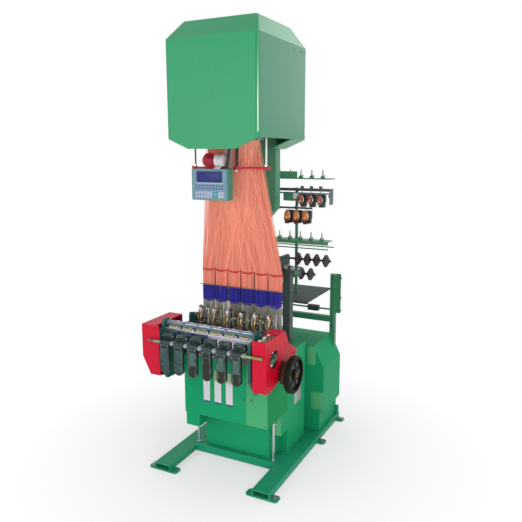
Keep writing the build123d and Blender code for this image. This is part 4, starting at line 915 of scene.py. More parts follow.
class Draft:
    """A piece's mesh while it is put together from shapes, in millimetres."""

    def __init__(self, name: str, main: Finish) -> None:
        """Start an empty piece.

        Args:
            name: The piece's name.
            main: The finish of each shape that is given no other.
        """
        self.name, self.main = name, main
        self.points: list[Point] = []
        self.faces: list[tuple[int, ...]] = []
        self.finishes: list[Finish] = []
        self.coats: list[int] = []

    def put(self, shape: Shape, at: Point = (0, 0, 0), finish: Optional[Finish] = None, axis: Axis = Axis.Z,
            turn: Optional[Matrix] = None) -> "Draft":
        """Add a shape at a place.

        Args:
            shape: The shape's points and faces.
            at: Where its origin goes.
            finish: Its own finish.
            axis: Where its Z points.
            turn: A further turn about its origin.

        Returns:
            The draft itself.
        """
        matrix = Matrix.Translation(at) @ (turn or Matrix()) @ axis.turn()
        start = len(self.points)
        self.points += [tuple(matrix @ Vector(point)) for point in shape[0]]
        self.faces += [tuple(start + i for i in face) for face in shape[1]]
        coat = finish or self.main
        if coat not in self.finishes:
            self.finishes.append(coat)
        self.coats += [self.finishes.index(coat)] * len(shape[1])
        return self

    def block(self, size: tuple[float, ...], at: Point, finish: Optional[Finish] = None,
              turn: Optional[Matrix] = None) -> "Draft":
        """Add a block of a width, depth, height and rounding."""
        return self.put(rounded_block(*size), at, finish, turn=turn)

    def spun(self, profile: tuple[tuple[float, float], ...], steps: int, at: Point,
             finish: Optional[Finish] = None, axis: Axis = Axis.Z, turn: Optional[Matrix] = None) -> "Draft":
        """Add a turned shape."""
        return self.put(turned(profile, steps), at, finish, axis, turn)

    def plate(self, width: float, height: float, corner: float, thick: float, bevel: float, at: Point,
              finish: Optional[Finish] = None) -> "Draft":
        """Add a plate with round corners whose face looks to the front."""
        shape = prism(rounded_outline(width, height, corner), thick, bevel)
        return self.put(shape, at, finish, Axis.Y, ABOUT_FACE)

    def done(self, slot: str, body: str = Body.FRAME, stands_for: Iterable[str] = ()) -> bpy.types.Object:
        """Turn the draft into an object that rides on a body.

        Args:
            slot: The record's material slot; not used.
            body: The CAD body.
            stands_for: CAD nodes that it replaces.

        Returns:
            The object.
        """
        mesh = bpy.data.meshes.new(self.name)
        mesh.from_pydata([tuple(MM * value for value in point) for point in self.points], [], self.faces)
        mesh.polygons.foreach_set("material_index", self.coats)
        for finish in self.finishes:
            mesh.materials.append(finish.make())
        return settle(linked(self.name, mesh), body, stands_for)


def settle(piece: bpy.types.Object, body: str = Body.FRAME,
           stands_for: Iterable[str] = ()) -> bpy.types.Object:
    """Shade a finished mesh and make it ride on its body.

    Args:
        piece: The object, with its place in its mesh.
        body: The CAD body.
        stands_for: CAD nodes that it replaces.

    Returns:
        The object.
    """
    piece.data.validate()
    piece.data.polygons.foreach_set("use_smooth", [True] * len(piece.data.polygons))
    piece.data.set_sharp_from_angle(angle=SHARP_ANGLE)
    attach(piece, body)
    if stands_for:
        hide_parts(*stands_for)
    log.info("%s: %d faces on %s", piece.name, len(piece.data.polygons), body)
    return piece


class Pattern:
    """A Geometry Nodes tree with named inputs, and the plain meshes it makes."""

    def __init__(self, name: str, **inputs: Iterable[str]) -> None:
        """Start a tree.

        Args:
            name: The tree's name.
            **inputs: The last part of each socket type, with the names of the inputs of that type.
        """
        self.tree = bpy.data.node_groups.new(name, "GeometryNodeTree")
        for kind, labels in {"Geometry": ("Geometry",), **inputs, "Material": ("Finish",)}.items():
            for label in labels:
                self.tree.interface.new_socket(label, in_out="INPUT", socket_type=f"NodeSocket{kind}")
        self.tree.interface.new_socket("Geometry", in_out="OUTPUT", socket_type="NodeSocketGeometry")
        self.graph = Graph(self.tree)
        self.given = self.graph.inputs()

    def close(self, geometry: Value) -> None:
        """End the tree in Realize Instances and Set Material.

        Args:
            geometry: What the tree makes.
        """
        real = self.graph.out("GeometryNodeRealizeInstances", {"Geometry": geometry})
        done = self.graph.out("GeometryNodeSetMaterial", {"Geometry": real, "Material": self.given["Finish"]})
        self.graph.add("NodeGroupOutput", {0: done})

    def run(self, name: str, finish: Finish, values: dict[str, Any],
            seeds: Optional[bpy.types.Mesh] = None) -> bpy.types.Object:
        """Run the tree and return a plain mesh object.

        Args:
            name: The piece's name.
            finish: Its finish.
            values: The inputs' values, by name, in metres.
            seeds: The mesh whose points carry the copies, if the tree takes one.

        Returns:
            The object, not yet riding on a body.
        """
        carrier = linked(f"{name}_carrier", seeds or bpy.data.meshes.new(f"{name}_seeds"))
        modifier = carrier.modifiers.new("pattern", "NODES")
        modifier.node_group = self.tree
        sockets = [item for item in self.tree.interface.items_tree if item.in_out == "INPUT"]
        keys = {socket.name: socket.identifier for socket in sockets}
        for label, value in {**values, "Finish": finish.make()}.items():
            modifier[keys[label]] = value
        bpy.context.view_layer.update()
        mesh = bpy.data.meshes.new_from_object(carrier.evaluated_get(bpy.context.evaluated_depsgraph_get()))
        bpy.data.objects.remove(carrier)
        if not mesh.materials:
            mesh.materials.append(finish.make())
        return linked(name, mesh)


class StrandCurtain(Pattern):
    """Groups of strands that fall from one wide row and part into a bundle for each group."""

    COUNTS = ("Groups", "Strands", "Sides", "Seed")
    LENGTHS = ("Pitch", "Bundle Half", "Top Half", "Top Y", "Top Z", "Knee Z", "Low Half", "Low Y", "Low Z",
               "Scallop", "Depth", "Radius")

    def __init__(self) -> None:
        """Build the tree."""
        super().__init__("strand_curtain", Int=self.COUNTS, Float=self.LENGTHS)
        graph, given = self.graph, self.given
        total = given["Groups"] * given["Strands"]
        line = graph.out("GeometryNodeMeshLine", {"Count": total, "Offset": (0, 0, 0)})
        upright = graph.out("GeometryNodeCurvePrimitiveLine", {"End": (0, 0, 1)})
        stepped = graph.out("GeometryNodeResampleCurve", {"Curve": upright, "Count": 9})
        copies = graph.out("GeometryNodeInstanceOnPoints", {"Points": line, "Instance": stepped})
        curves = graph.out("GeometryNodeRealizeInstances", {"Geometry": copies})
        strand = graph.out("GeometryNodeCurveOfPoint")
        share = graph.out("GeometryNodeInputPosition").part(2)
        group = graph.math("FLOOR", strand / given["Strands"])
        rank = strand - group * given["Strands"]
        row = rank / (given["Strands"] - 1.0) * 2.0 - 1.0
        strayed = row + self._random(strand, 0, -0.06, 0.06)
        lane = graph.math("MAXIMUM", graph.math("MINIMUM", strayed, 1.0), -1.0)
        middle = (group - (given["Groups"] - 1.0) / 2.0) * given["Pitch"]
        low_z = given["Low Z"] + graph.math("POWER", abs(lane), 3.0) * given["Scallop"]
        below, above = share.ramp(0.0, 0.25), share.ramp(0.25, 1.0)
        knee_x = middle + lane * given["Bundle Half"]
        x = self._between(above, self._between(below, middle + lane * given["Low Half"], knee_x),
                          lane * given["Top Half"])
        layer = self._random(strand, 7, -0.5, 0.5) * given["Depth"]
        y = self._between(above, given["Low Y"], given["Top Y"]) + layer
        z = self._between(above, self._between(below, low_z, given["Knee Z"]), given["Top Z"])
        place = graph.out("ShaderNodeCombineXYZ", {0: x, 1: y, 2: z})
        moved = graph.out("GeometryNodeSetPosition", {"Geometry": curves, "Position": place})
        # Each strand's own random tone, pulled to 0 on a bundle's outer strands, which the yarn finishes
        # paint darker: painted shade in the gaps between bundles.
        own = self._random(strand, 13, 0.0, 1.0) * abs(lane).ramp(1.0, 0.93)
        feeds = {"Geometry": moved, "Name": "strand_tone", "Value": own}
        tone = graph.out("GeometryNodeStoreNamedAttribute", feeds, data_type="FLOAT", domain="POINT")
        circle = graph.out("GeometryNodeCurvePrimitiveCircle",
                           {"Resolution": given["Sides"], "Radius": given["Radius"]})
        feeds = {"Curve": tone, "Profile Curve": circle, "Fill Caps": True}
        self.close(graph.out("GeometryNodeCurveToMesh", feeds))

    def _random(self, strand: Value, shift: int, low: float, high: float) -> Value:
        """A fixed random value for each strand, with a seed shifted from the tree's own."""
        feeds = {2: low, 3: high, "ID": strand, "Seed": self.given["Seed"] + float(shift)}
        return self.graph.out("FunctionNodeRandomValue", feeds, 1, data_type="FLOAT")

    def _between(self, share: Value, first: Any, second: Any) -> Value:
        """The value that lies a share of the way from one to another."""
        return self.graph.out("ShaderNodeMix", {0: share, 2: first, 3: second}, data_type="FLOAT")


class FastenerField(Pattern):
    """Fastener heads on washers, one on each seed point, facing the way its attribute says."""

    def __init__(self) -> None:
        """Build the tree."""
        super().__init__("fastener_field", Float=("Radius", "Height", "Washer"), Int=("Sides",))
        graph, given = self.graph, self.given
        parts = []
        for sides, radius, height, base in (
                (given["Sides"], given["Radius"], given["Height"], given["Washer"]),
                (20, given["Radius"] * 1.55, given["Washer"], 0.0)):
            feeds = {"Vertices": sides, "Radius": radius, "Depth": height}
            head = graph.out("GeometryNodeMeshCylinder", feeds)
            shift = graph.out("ShaderNodeCombineXYZ", {2: height * 0.5 + base})
            parts.append(graph.out("GeometryNodeTransform", {"Geometry": head, "Translation": shift}))
        facing = graph.out("GeometryNodeInputNamedAttribute", {"Name": "facing"}, data_type="FLOAT_VECTOR")
        turn = graph.out("FunctionNodeAlignRotationToVector", {"Vector": facing}, axis="Z")
        spots = graph.out("GeometryNodeMeshToPoints", {"Mesh": given["Geometry"]})
        self.close(graph.out("GeometryNodeInstanceOnPoints",
                             {"Points": spots, "Instance": graph.joined(*parts), "Rotation": turn}))

    def dress(self, name: str, spots: Sequence[Spot], radius: float, kind: Fastener, finish: Finish,
              washer: float = 1.2, slot: str = "bright_steel", body: str = Body.FRAME) -> None:
        """Put a fastener on each spot.

        Args:
            name: The piece's name.
            spots: Each place in millimetres and the way it faces.
            radius: The head's radius in millimetres.
            kind: The kind of head.
            finish: The finish.
            washer: The washer's thickness in millimetres.
            slot: The record's material slot; not used.
            body: The CAD body that carries them.
        """
        seeds = bpy.data.meshes.new(f"{name}_spots")
        seeds.from_pydata([tuple(MM * value for value in place) for place, _ in spots], [], [])
        facing = seeds.attributes.new("facing", "FLOAT_VECTOR", "POINT")
        facing.data.foreach_set("vector", [value for _, way in spots for value in way])
        sides, tall = kind.value
        values = {"Radius": radius * MM, "Height": radius * tall * MM, "Sides": sides, "Washer": washer * MM}
        settle(self.run(name, finish, values, seeds), body)


class SlatRow(Pattern):
    """A grid of like blocks with round corners, such as keys or reed wires."""

    def __init__(self) -> None:
        """Build the tree."""
        super().__init__("slat_row", Int=("Columns", "Rows"), Vector=("Centre",),
                         Float=("Step X", "Step Z", "Width", "Height", "Depth", "Corner"))
        graph, given = self.graph, self.given
        grid = graph.out("GeometryNodeMeshGrid", {
            "Size X": (given["Columns"] - 1.0) * given["Step X"], "Vertices X": given["Columns"],
            "Size Y": (given["Rows"] - 1.0) * given["Step Z"], "Vertices Y": given["Rows"]})
        outline = graph.out("GeometryNodeCurvePrimitiveQuadrilateral",
                            {"Width": given["Width"], "Height": given["Height"]})
        feeds = {"Curve": outline, "Count": 3, "Radius": given["Corner"]}
        rounded = graph.out("GeometryNodeFilletCurve", feeds, mode="POLY")
        face = graph.out("GeometryNodeFillCurve", {"Curve": rounded}, mode="NGONS")
        feeds = {"Mesh": face, "Offset Scale": given["Depth"]}
        raised = graph.out("GeometryNodeExtrudeMesh", feeds, mode="FACES")
        both = graph.joined(raised, graph.out("GeometryNodeFlipFaces", {"Mesh": face}))
        whole = graph.out("GeometryNodeMergeByDistance", {"Geometry": both, "Distance": 1e-6})
        placed = graph.out("GeometryNodeInstanceOnPoints", {"Points": grid, "Instance": whole})
        self.close(graph.out("GeometryNodeTransform", {"Geometry": placed, "Translation": given["Centre"],
                                                       "Rotation": (math.pi / 2, 0, 0)}))

    def dress(self, name: str, finish: Finish, slot: str, counts: tuple[int, int], step: tuple[float, float],
              size: Point, corner: float, centre: Point) -> None:
        """Put a grid of blocks that face the front.

        Args:
            name: The piece's name.
            finish: The finish.
            slot: The record's material slot; not used.
            counts: How many columns and rows there are.
            step: Millimetres from one to the next along X and Z.
            size: Each block's width, height and depth in millimetres.
            corner: The radius of its corners.
            centre: The grid's middle.
        """
        values = {"Columns": counts[0], "Rows": counts[1], "Centre": tuple(MM * value for value in centre)}
        labels = ("Step X", "Step Z", "Width", "Height", "Depth", "Corner")
        values.update((label, value * MM) for label, value in zip(labels, (*step, *size, corner)))
        settle(self.run(name, finish, values))


def coated(finish: Finish, *nodes: str) -> None:
    """Give CAD nodes a finish.

    Args:
        finish: The finish.
        *nodes: The nodes' names.
    """
    for node in nodes:
        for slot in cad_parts[node].material_slots:
            slot.material = finish.make()


def box_mm(node: str) -> tuple[Vector, Vector]:
    """The lowest and highest corner of a CAD node in millimetres."""
    low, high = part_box(node)
    return low / MM, high / MM


def white_ray(graph: Graph) -> Value:
    """Tell the rays that see a white room from those that light the scene.

    Args:
        graph: The tree.

    Returns:
        1 for the camera's rays, reflections and transmissions, or 0.
    """
    seen, mirrored, through = (graph.out("ShaderNodeLightPath", which=f"Is {kind} Ray")
                               for kind in ("Camera", "Glossy", "Transmission"))
    return graph.math("MAXIMUM", graph.math("MAXIMUM", seen, mirrored), through)


@dataclass
class Studio:
    """The camera at the photograph's place, the pale floor and the soft light."""

    camera_at: Point = (1.6625, -3.2148, 1.9)
    camera_turn: Point = (79.438, 0.1, 26.648)
    lens: float = 40.24
    sensor: float = 36.0
    floor_half: float = 14.0
    lit_point: Point = (0.0, 0.0, 1.2)
    lamps: tuple[tuple[str, Point, float, float], ...] = (
        ("key", (-1.8, -4.4, 1.9), 50.0, 2.6), ("front", (2.7, -3.5, 1.1), 44.0, 2.2),
        ("edge", (3.3, -1.7, 2.3), 14.0, 0.5), ("fill_back", (0.5, 4.0, 3.4), 50.0, 3.0))

    def build(self) -> None:
        """Make the camera, the floor, the world and the lamps."""
        view = bpy.data.cameras.new("camera")
        view.lens, view.sensor_width = self.lens, self.sensor
        camera = linked("camera", view)
        camera.location = self.camera_at
        camera.rotation_euler = [math.radians(value) for value in self.camera_turn]
        bpy.context.scene.camera = camera
        bpy.context.scene.view_settings.view_transform = "Standard"
        self._floor()
        self._world()
        for name, at, power, size in self.lamps:
            light = bpy.data.lights.new(name, "AREA")
            light.energy, light.size = power, size
            lamp = linked(name, light)
            lamp.location = at
            lamp.rotation_euler = (Vector(self.lit_point) - Vector(at)).to_track_quat("-Z", "Y").to_euler()
        log.info("studio: camera, floor and lamps")

    def _floor(self) -> None:
        """A pale floor that keeps the shadow near the machine and fades into the white background."""
        mesh = bpy.data.meshes.new("floor")
        signs = ((-1, -1), (1, -1), (1, 1), (-1, 1))
        corners = [(x * self.floor_half, y * self.floor_half, 0) for x, y in signs]
        mesh.from_pydata(corners, [], [(0, 1, 2, 3)])
        floor = linked("floor", mesh)
        material, graph = blank(bpy.data.materials, "pale_floor")
        place = graph.out("ShaderNodeTexCoord", which="Object")
        tone = graph.blend(graph.noise(place, 3.0, 3.0, 0.55), (0.86, 0.86, 0.86), (0.9, 0.9, 0.9))
        matt = graph.out("ShaderNodeBsdfPrincipled", {"Base Color": tone, "Roughness": 0.9})
        white = graph.out("ShaderNodeEmission", {"Color": WHITE, "Strength": 1.0})
        away = graph.out("ShaderNodeVectorMath", {0: place}, "Value", operation="LENGTH")
        share = away.ramp(0.6, 1.5, (0.5, 1.0)) * white_ray(graph)
        mixed = graph.out("ShaderNodeMixShader", {0: share, 1: matt, 2: white})
        graph.add("ShaderNodeOutputMaterial", {"Surface": mixed})
        mesh.materials.append(material)

    def _world(self) -> None:
        """A soft even light, white where it is seen or mirrored."""
        world, graph = blank(bpy.data.worlds, "soft_room")
        strength = white_ray(graph).ramp(0.0, 1.0, (0.66, 1.0))
        light = graph.out("ShaderNodeBackground", {"Color": WHITE, "Strength": strength})
        graph.add("ShaderNodeOutputWorld", {"Surface": light})
        bpy.context.scene.world = world


@dataclass
class Assembly:
    """A sub-assembly, with the patterns that its screws, rows and cords grow from."""

    screws: FastenerField
    slats: SlatRow
    curtain: StrandCurtain


@dataclass
class Housings(Assembly):
    """The base, the cabinet and the rear housing: paint, bolts, panels and the door's fittings."""

    foot_top: float = 10.0
    anchor_half: tuple[float, float] = (410.0, 551.0)
    inner_x: float = 256.0
    middle_y: float = 181.0
    front_y: float = -393.0

    def build(self) -> None:
        """Paint the nodes and add the small pieces."""
        coated(RAIL_GREEN, "base_frame")
        coated(MACHINE_GREEN, "pedestal", "main_cabinet", "front_door", "rear_housing")
        coated(FRONT_GREEN, "front_housing")
        coated(CHROME, "prop_rods")
        x, y = self.anchor_half
        feet = [(side * x, end * y) for side in SIDES for end in SIDES]
        feet += [(side * px, self.middle_y) for side in SIDES for px in (x, self.inner_x)]
        spots = [((px, py, self.foot_top), UP) for px, py in feet]
        self.screws.dress("anchor_bolts", spots, 12.5, Fastener.HEX, BARE_STEEL, 2.5)
        self._door()
        self._panels()

    def _door(self) -> None:
        """The door's hinges, its latch and the screws beside it."""
        low, high = box_mm("front_door")
        fittings = Draft("door_fittings", RAIL_GREEN)
        for z in (low.z + 30, high.z - 30):
            fittings.spun(((3.5, -14), (4.2, -12), (4.2, 12), (3.5, 14)), 14, (low.x - 1, low.y, z))
        fittings.block((9, 5, 26, 1.5), (high.x - 12, low.y - 2, (low.z + high.z) / 2 - 60))
        fittings.done("bright_steel")
        places = [(176, 484), (186, 488), (181, 476)]
        places += [(side * 268, z) for side in SIDES for z in (335, 560)]
        spots = [((x, self.front_y, z), FRONT) for x, z in places]
        self.screws.dress("door_screws", spots, 3.2, Fastener.PAN, DARK_STEEL, 0.4)

    def _panels(self) -> None:
        """The lighter access panels, the creased bare plate, the box's knob and the housing's seam."""
        panels = Draft("access_panels", PALE_GREEN)
        for x0, x1, z0, z1 in ((269, 325, 505, 628), (299, 384, 193, 316)):
            panels.block((x1 - x0, 2.4, z1 - z0, 1.0), ((x0 + x1) / 2, 249.0, (z0 + z1) / 2))
        panels.block((64, 1.6, 120, 0.7), (252, -205.8, 256)).done("machine_green")
        Draft("bare_nameplate", BARE_PLATE).block((1.2, 114, 92, 0.5), (284.6, 53, 364)).done("bright_steel")
        knob = ((6, 0), (6, 3), (8, 5), (8, 10), (6, 12))
        Draft("box_knob", CREAM_BLOCK).put(turned(knob, 18), (256, -206, 268), None, Axis.Y,
                                           ABOUT_FACE).done("frame_green")
        Draft("housing_seams", MACHINE_GREEN).block((560, 3, 5, 1.2), (0, -392, 684)).done("machine_green")


@dataclass
class EndCovers(Assembly):
    """The red covers and the side frames behind them."""

    bracket_side: tuple[tuple[float, float], ...] = (
        (-306, 850), (-304, 920), (-292, 931), (-166, 899), (-152, 890), (-152, 800), (-200, 790))

    def build(self) -> None:
        """Paint the covers and frames and add the screws, the left bracket and the gears that show."""
        coated(CRIMSON, "left_cover", "right_cover")
        coated(DARK_GREEN, "left_side_frame", "right_side_frame")
        low, high = box_mm("right_cover")
        left_low, left_high = box_mm("left_cover")
        spots = [((high.x, low.y + dy, high.z + dz), RIGHT)
                 for dy, dz in ((30, -50), (30, -245), (255, -85), (360, -165))]
        spots += [((left_low.x, left_low.y + dy, left_high.z + dz), LEFT)
                  for dy, dz in ((40, -50), (240, -50), (40, -175), (240, -175))]
        self.screws.dress("cover_screws", spots, 4.5, Fastener.PAN, CRIMSON, 0.6, "cover_red")
        bracket = prism([(-z, y) for y, z in self.bracket_side], 12, 1.0)
        at = (box_mm("left_side_frame")[1].x - 14, 0, 0)
        Draft("left_frame_bracket", DARK_GREEN).put(bracket, at, None, Axis.X).done("dark_green")
        self._gears(low, high)

    def _gears(self, low: Vector, high: Vector) -> None:
        """The change gears under the right cover's open top and those behind its window.

        Args:
            low: The right cover's lowest corner.
            high: Its highest corner.
        """
        gears = Draft("change_gears", CERAMIC)
        row = ((30, 20, CERAMIC), (58, 17, CREAM_BLOCK), (88, 22, CERAMIC), (112, 14, TIE_RED),
               (136, 18, CERAMIC))
        for index, (dy, radius, finish) in enumerate(row):
            at = (low.x + 24 + 10 * (index % 2), low.y + dy, high.z - radius + 1)
            gears.put(prism(toothed(radius, max(12, radius), 2.6), 9.0), at, finish, Axis.X)
            gears.spun(((5, -16), (6, -15), (6, 13), (4, 15)), 12, at, BARE_STEEL, Axis.X)
        gears.block((30, 118, 4, 1.5), (low.x + 34, low.y + 84, high.z - 44))
        for dy in (44, 72, 100):
            at = (low.x + 52, low.y + dy, high.z - 30)
            gears.spun(((5, 0), (6, 1), (6, 20), (4, 22)), 12, at, PALE_GREEN)
        y, z = low.y + 99, high.z - 123
        for dy, dz, radius, dx, finish in ((0, 0, 40, 30, PALE_GREEN), (14, 10, 24, 42, BARE_STEEL),
                                           (-20, -14, 19, 50, CERAMIC), (24, -22, 14, 56, PALE_GREEN)):
            gear, at = toothed(radius, int(radius * 0.7), 3), Vector((low.x + dx, y + dy, z + dz))
            gears.put(prism(gear, 8.0), at, finish, Axis.X)
            gears.spun(((4, 0), (5, 1), (5, 11), (3, 12)), 10, at + Vector((4, 0, 0)), BARE_STEEL, Axis.X)
        for dy, dz, radius, dx, finish in ((-34, 24, 13, 54, CERAMIC), (34, -22, 12, 56, PALE_GREEN),
                                           (-6, 36, 9, 58, BARE_STEEL), (20, 34, 8, 56, CERAMIC),
                                           (-38, -36, 8, 56, PALE_GREEN), (6, -38, 7, 58, CERAMIC),
                                           (40, 12, 7, 58, BARE_STEEL)):
            gears.spun(((radius - 2, 0), (radius, 1), (radius, 6), (radius - 3, 8)), 12,
                       (low.x + dx, y + dy, z + dz), finish, Axis.X)
        gears.done("bright_steel")


@dataclass
class FrontBeam(Assembly):
    """The tape beam in front: bars, tape guides, the white plate and the lever rod's nuts."""

    flange_y: float = -571.2
    rod_yz: tuple[float, float] = (-650.0, 848.0)

    def build(self) -> None:
        """Finish the nodes and add the bars, guides, plate, nuts and springs."""
        coated(TEAL_STEEL, "beam_rods", "breast_plate")
        coated(LEVER_ROD, "lever_rod")
        self._bars()
        self._guides()
        self._white_plate()
        self._rod_parts()

    def _bars(self) -> None:
        """The bright bars along the beam; the pink ones are painted pink reflection lines."""
        low, high = box_mm("breast_plate")
        length = high.x - low.x - 2
        bars = Draft("beam_bars", CHROME)
        # The pink bars are painted pink highlight lines along the beam; the chrome ones are bright metal
        # bars.
        for y, z, width, tall, finish in ((-571.5, 908, 5, 6, PINK_SHEEN_STEEL), (-572.5, 904, 3, 3, CHROME),
                                          (-561, 944, 4, 3, CHROME), (-546, 948.5, 5, 3, PINK_SHEEN_STEEL),
                                          (-562, 930, 4, 3, TEAL_STEEL)):
            bars.block((length, width, tall, 1.2), (0, y, z), finish)
        bars.block((length - 6, 10, 10, 2), (0, -524, 922), DARK_STEEL)
        for x in unit_centres():
            bars.block((26, 5, 3.4, 1.2), (x + 20, -546.5, 950))
            bars.block((18, 4, 3, 1.2), (x - 22, -561.5, 945.5), KEY_NAVY)
        bars.done("teal_rod")

    def _guides(self) -> None:
        """A cream tape guide with its slot and screws on the slope of each unit."""
        guides = Draft("tape_guides", CREAM_BLOCK)
        slope = leaning(34, "X")
        for x in unit_centres():
            for size, dx, y, z, finish in (((60, 34, 10, 2.5), 0, -560, 917, CREAM_BLOCK),
                                           ((40, 6, 3, 1), 0, -563, 921, DARK_STEEL),
                                           ((44, 5, 3, 1), 0, -569, 912, CERAMIC),
                                           ((12, 26, 8, 2), 42, -560, 917, CHROME)):
                guides.block(size, (x + dx, y, z), finish, slope)
        guides.done("light_grey")
        spots = [((x + side * 25, -564, 919), (0, -0.55, 0.83)) for x in unit_centres() for side in SIDES]
        self.screws.dress("guide_screws", spots, 2.6, Fastener.SOCKET, CHROME, 0.3)

    def _white_plate(self) -> None:
        """The white plate behind the right three levers, with a rib between each two of them."""
        plate, y = Draft("white_head_plate", WHITE_ENAMEL), self.flange_y
        plate.block((268, 2.4, 26, 1.0), (138, y, 890))
        plate.block((264, 1.2, 2.4, 0.5), (138, y - 1.8, 897), TEAL_STEEL)
        for x in (5.5, 91.6, 183.2, 270.5):
            plate.block((14, 2.4, 40, 1.0), (x, y, 860))
        for x in (91.6, 183.2):
            plate.block((6, 40, 44, 2.0), (x, y - 21, 874))
        plate.done("light_grey")

    def _rod_parts(self) -> None:
        """Bright nuts and coil springs on the lever rod, the blue stop blocks and the pale guide strip."""
        parts = Draft("rod_nuts_and_springs", BARE_STEEL)
        nut = ring(((8.05, 2.3), (10.2, 2.3), (10.2, 6.5), (9.4, 8), (8.05, 8)), 6)
        edges, (y, z) = unit_edges(), self.rod_yz
        for x in edges:
            parts.put(nut, (x, y, z), None, Axis.X, ABOUT_FACE if x == edges[-1] else None)
            if x in edges[1:-1]:
                coil = [(x - 16 + 7 * i / 60, y + 10 * cos, z + 10 * sin)
                        for i, (cos, sin) in enumerate(around(12, 61))]
                parts.put(tube(coil, 0.8, 5))
        for x in edges[1:4]:
            parts.block((9, 34, 34, 2.5), (x, -588, 884), KEY_NAVY)
        parts.block((4, 8, 150, 1.5), (edges[2], -580, 775), PALE_GREEN).done("bright_steel")


@dataclass
class PresserLevers(Assembly):
    """What the levers carry: strips in the arm's hollow, the head's bright rim, its pad and its screws."""

    strips: tuple[tuple[Finish, Finish], ...] = (
        (LEVER_TEAL, LEVER_TEAL), (LEVER_TEAL, LEVER_TEAL), (LEVER_GREY, LEVER_BROWN),
        (LEVER_BROWN, LEVER_BROWN), (LEVER_GREY, LEVER_BROWN), (LEVER_GREY, LEVER_BROWN))

    def build(self) -> None:
        """Finish each lever and add its fittings to its own body."""
        for number, (x, (upper, lower)) in enumerate(zip(unit_centres(), self.strips), 1):
            coated(LEVER_DARK, f"presser_lever_{number}")
            fittings = Draft(f"lever_fittings_{number}", upper).plate(34, 76, 8, 2.2, 0.6, (x, -659, 782))
            fittings.plate(36, 70, 16, 1.6, 0.5, (x, -657.4, 710), lower)
            fittings.plate(56, 20, 6, 3.0, 0.8, (x, -618.2, 875), LEVER_DARK)
            fittings.block((62, 2, 1.6, 0.6), (x, -622.0, 893.4))
            for side in SIDES:
                fittings.block((1.6, 1.4, 120, 0.5), (x + side * 20, -660.2, 760))
            fittings.done("lever_dark", f"lever_{number}")
            places = ((-23, -661.4, 836), (23, -661.4, 836), (0, -660.6, 806), (-32, -622, 880),
                      (32, -622, 880))
            spots = [((x + dx, y, z), FRONT) for dx, y, z in places]
            self.screws.dress(f"lever_screws_{number}", spots, 2.4, Fastener.SOCKET, BARE_STEEL, 0.4,
                              body=f"lever_{number}")


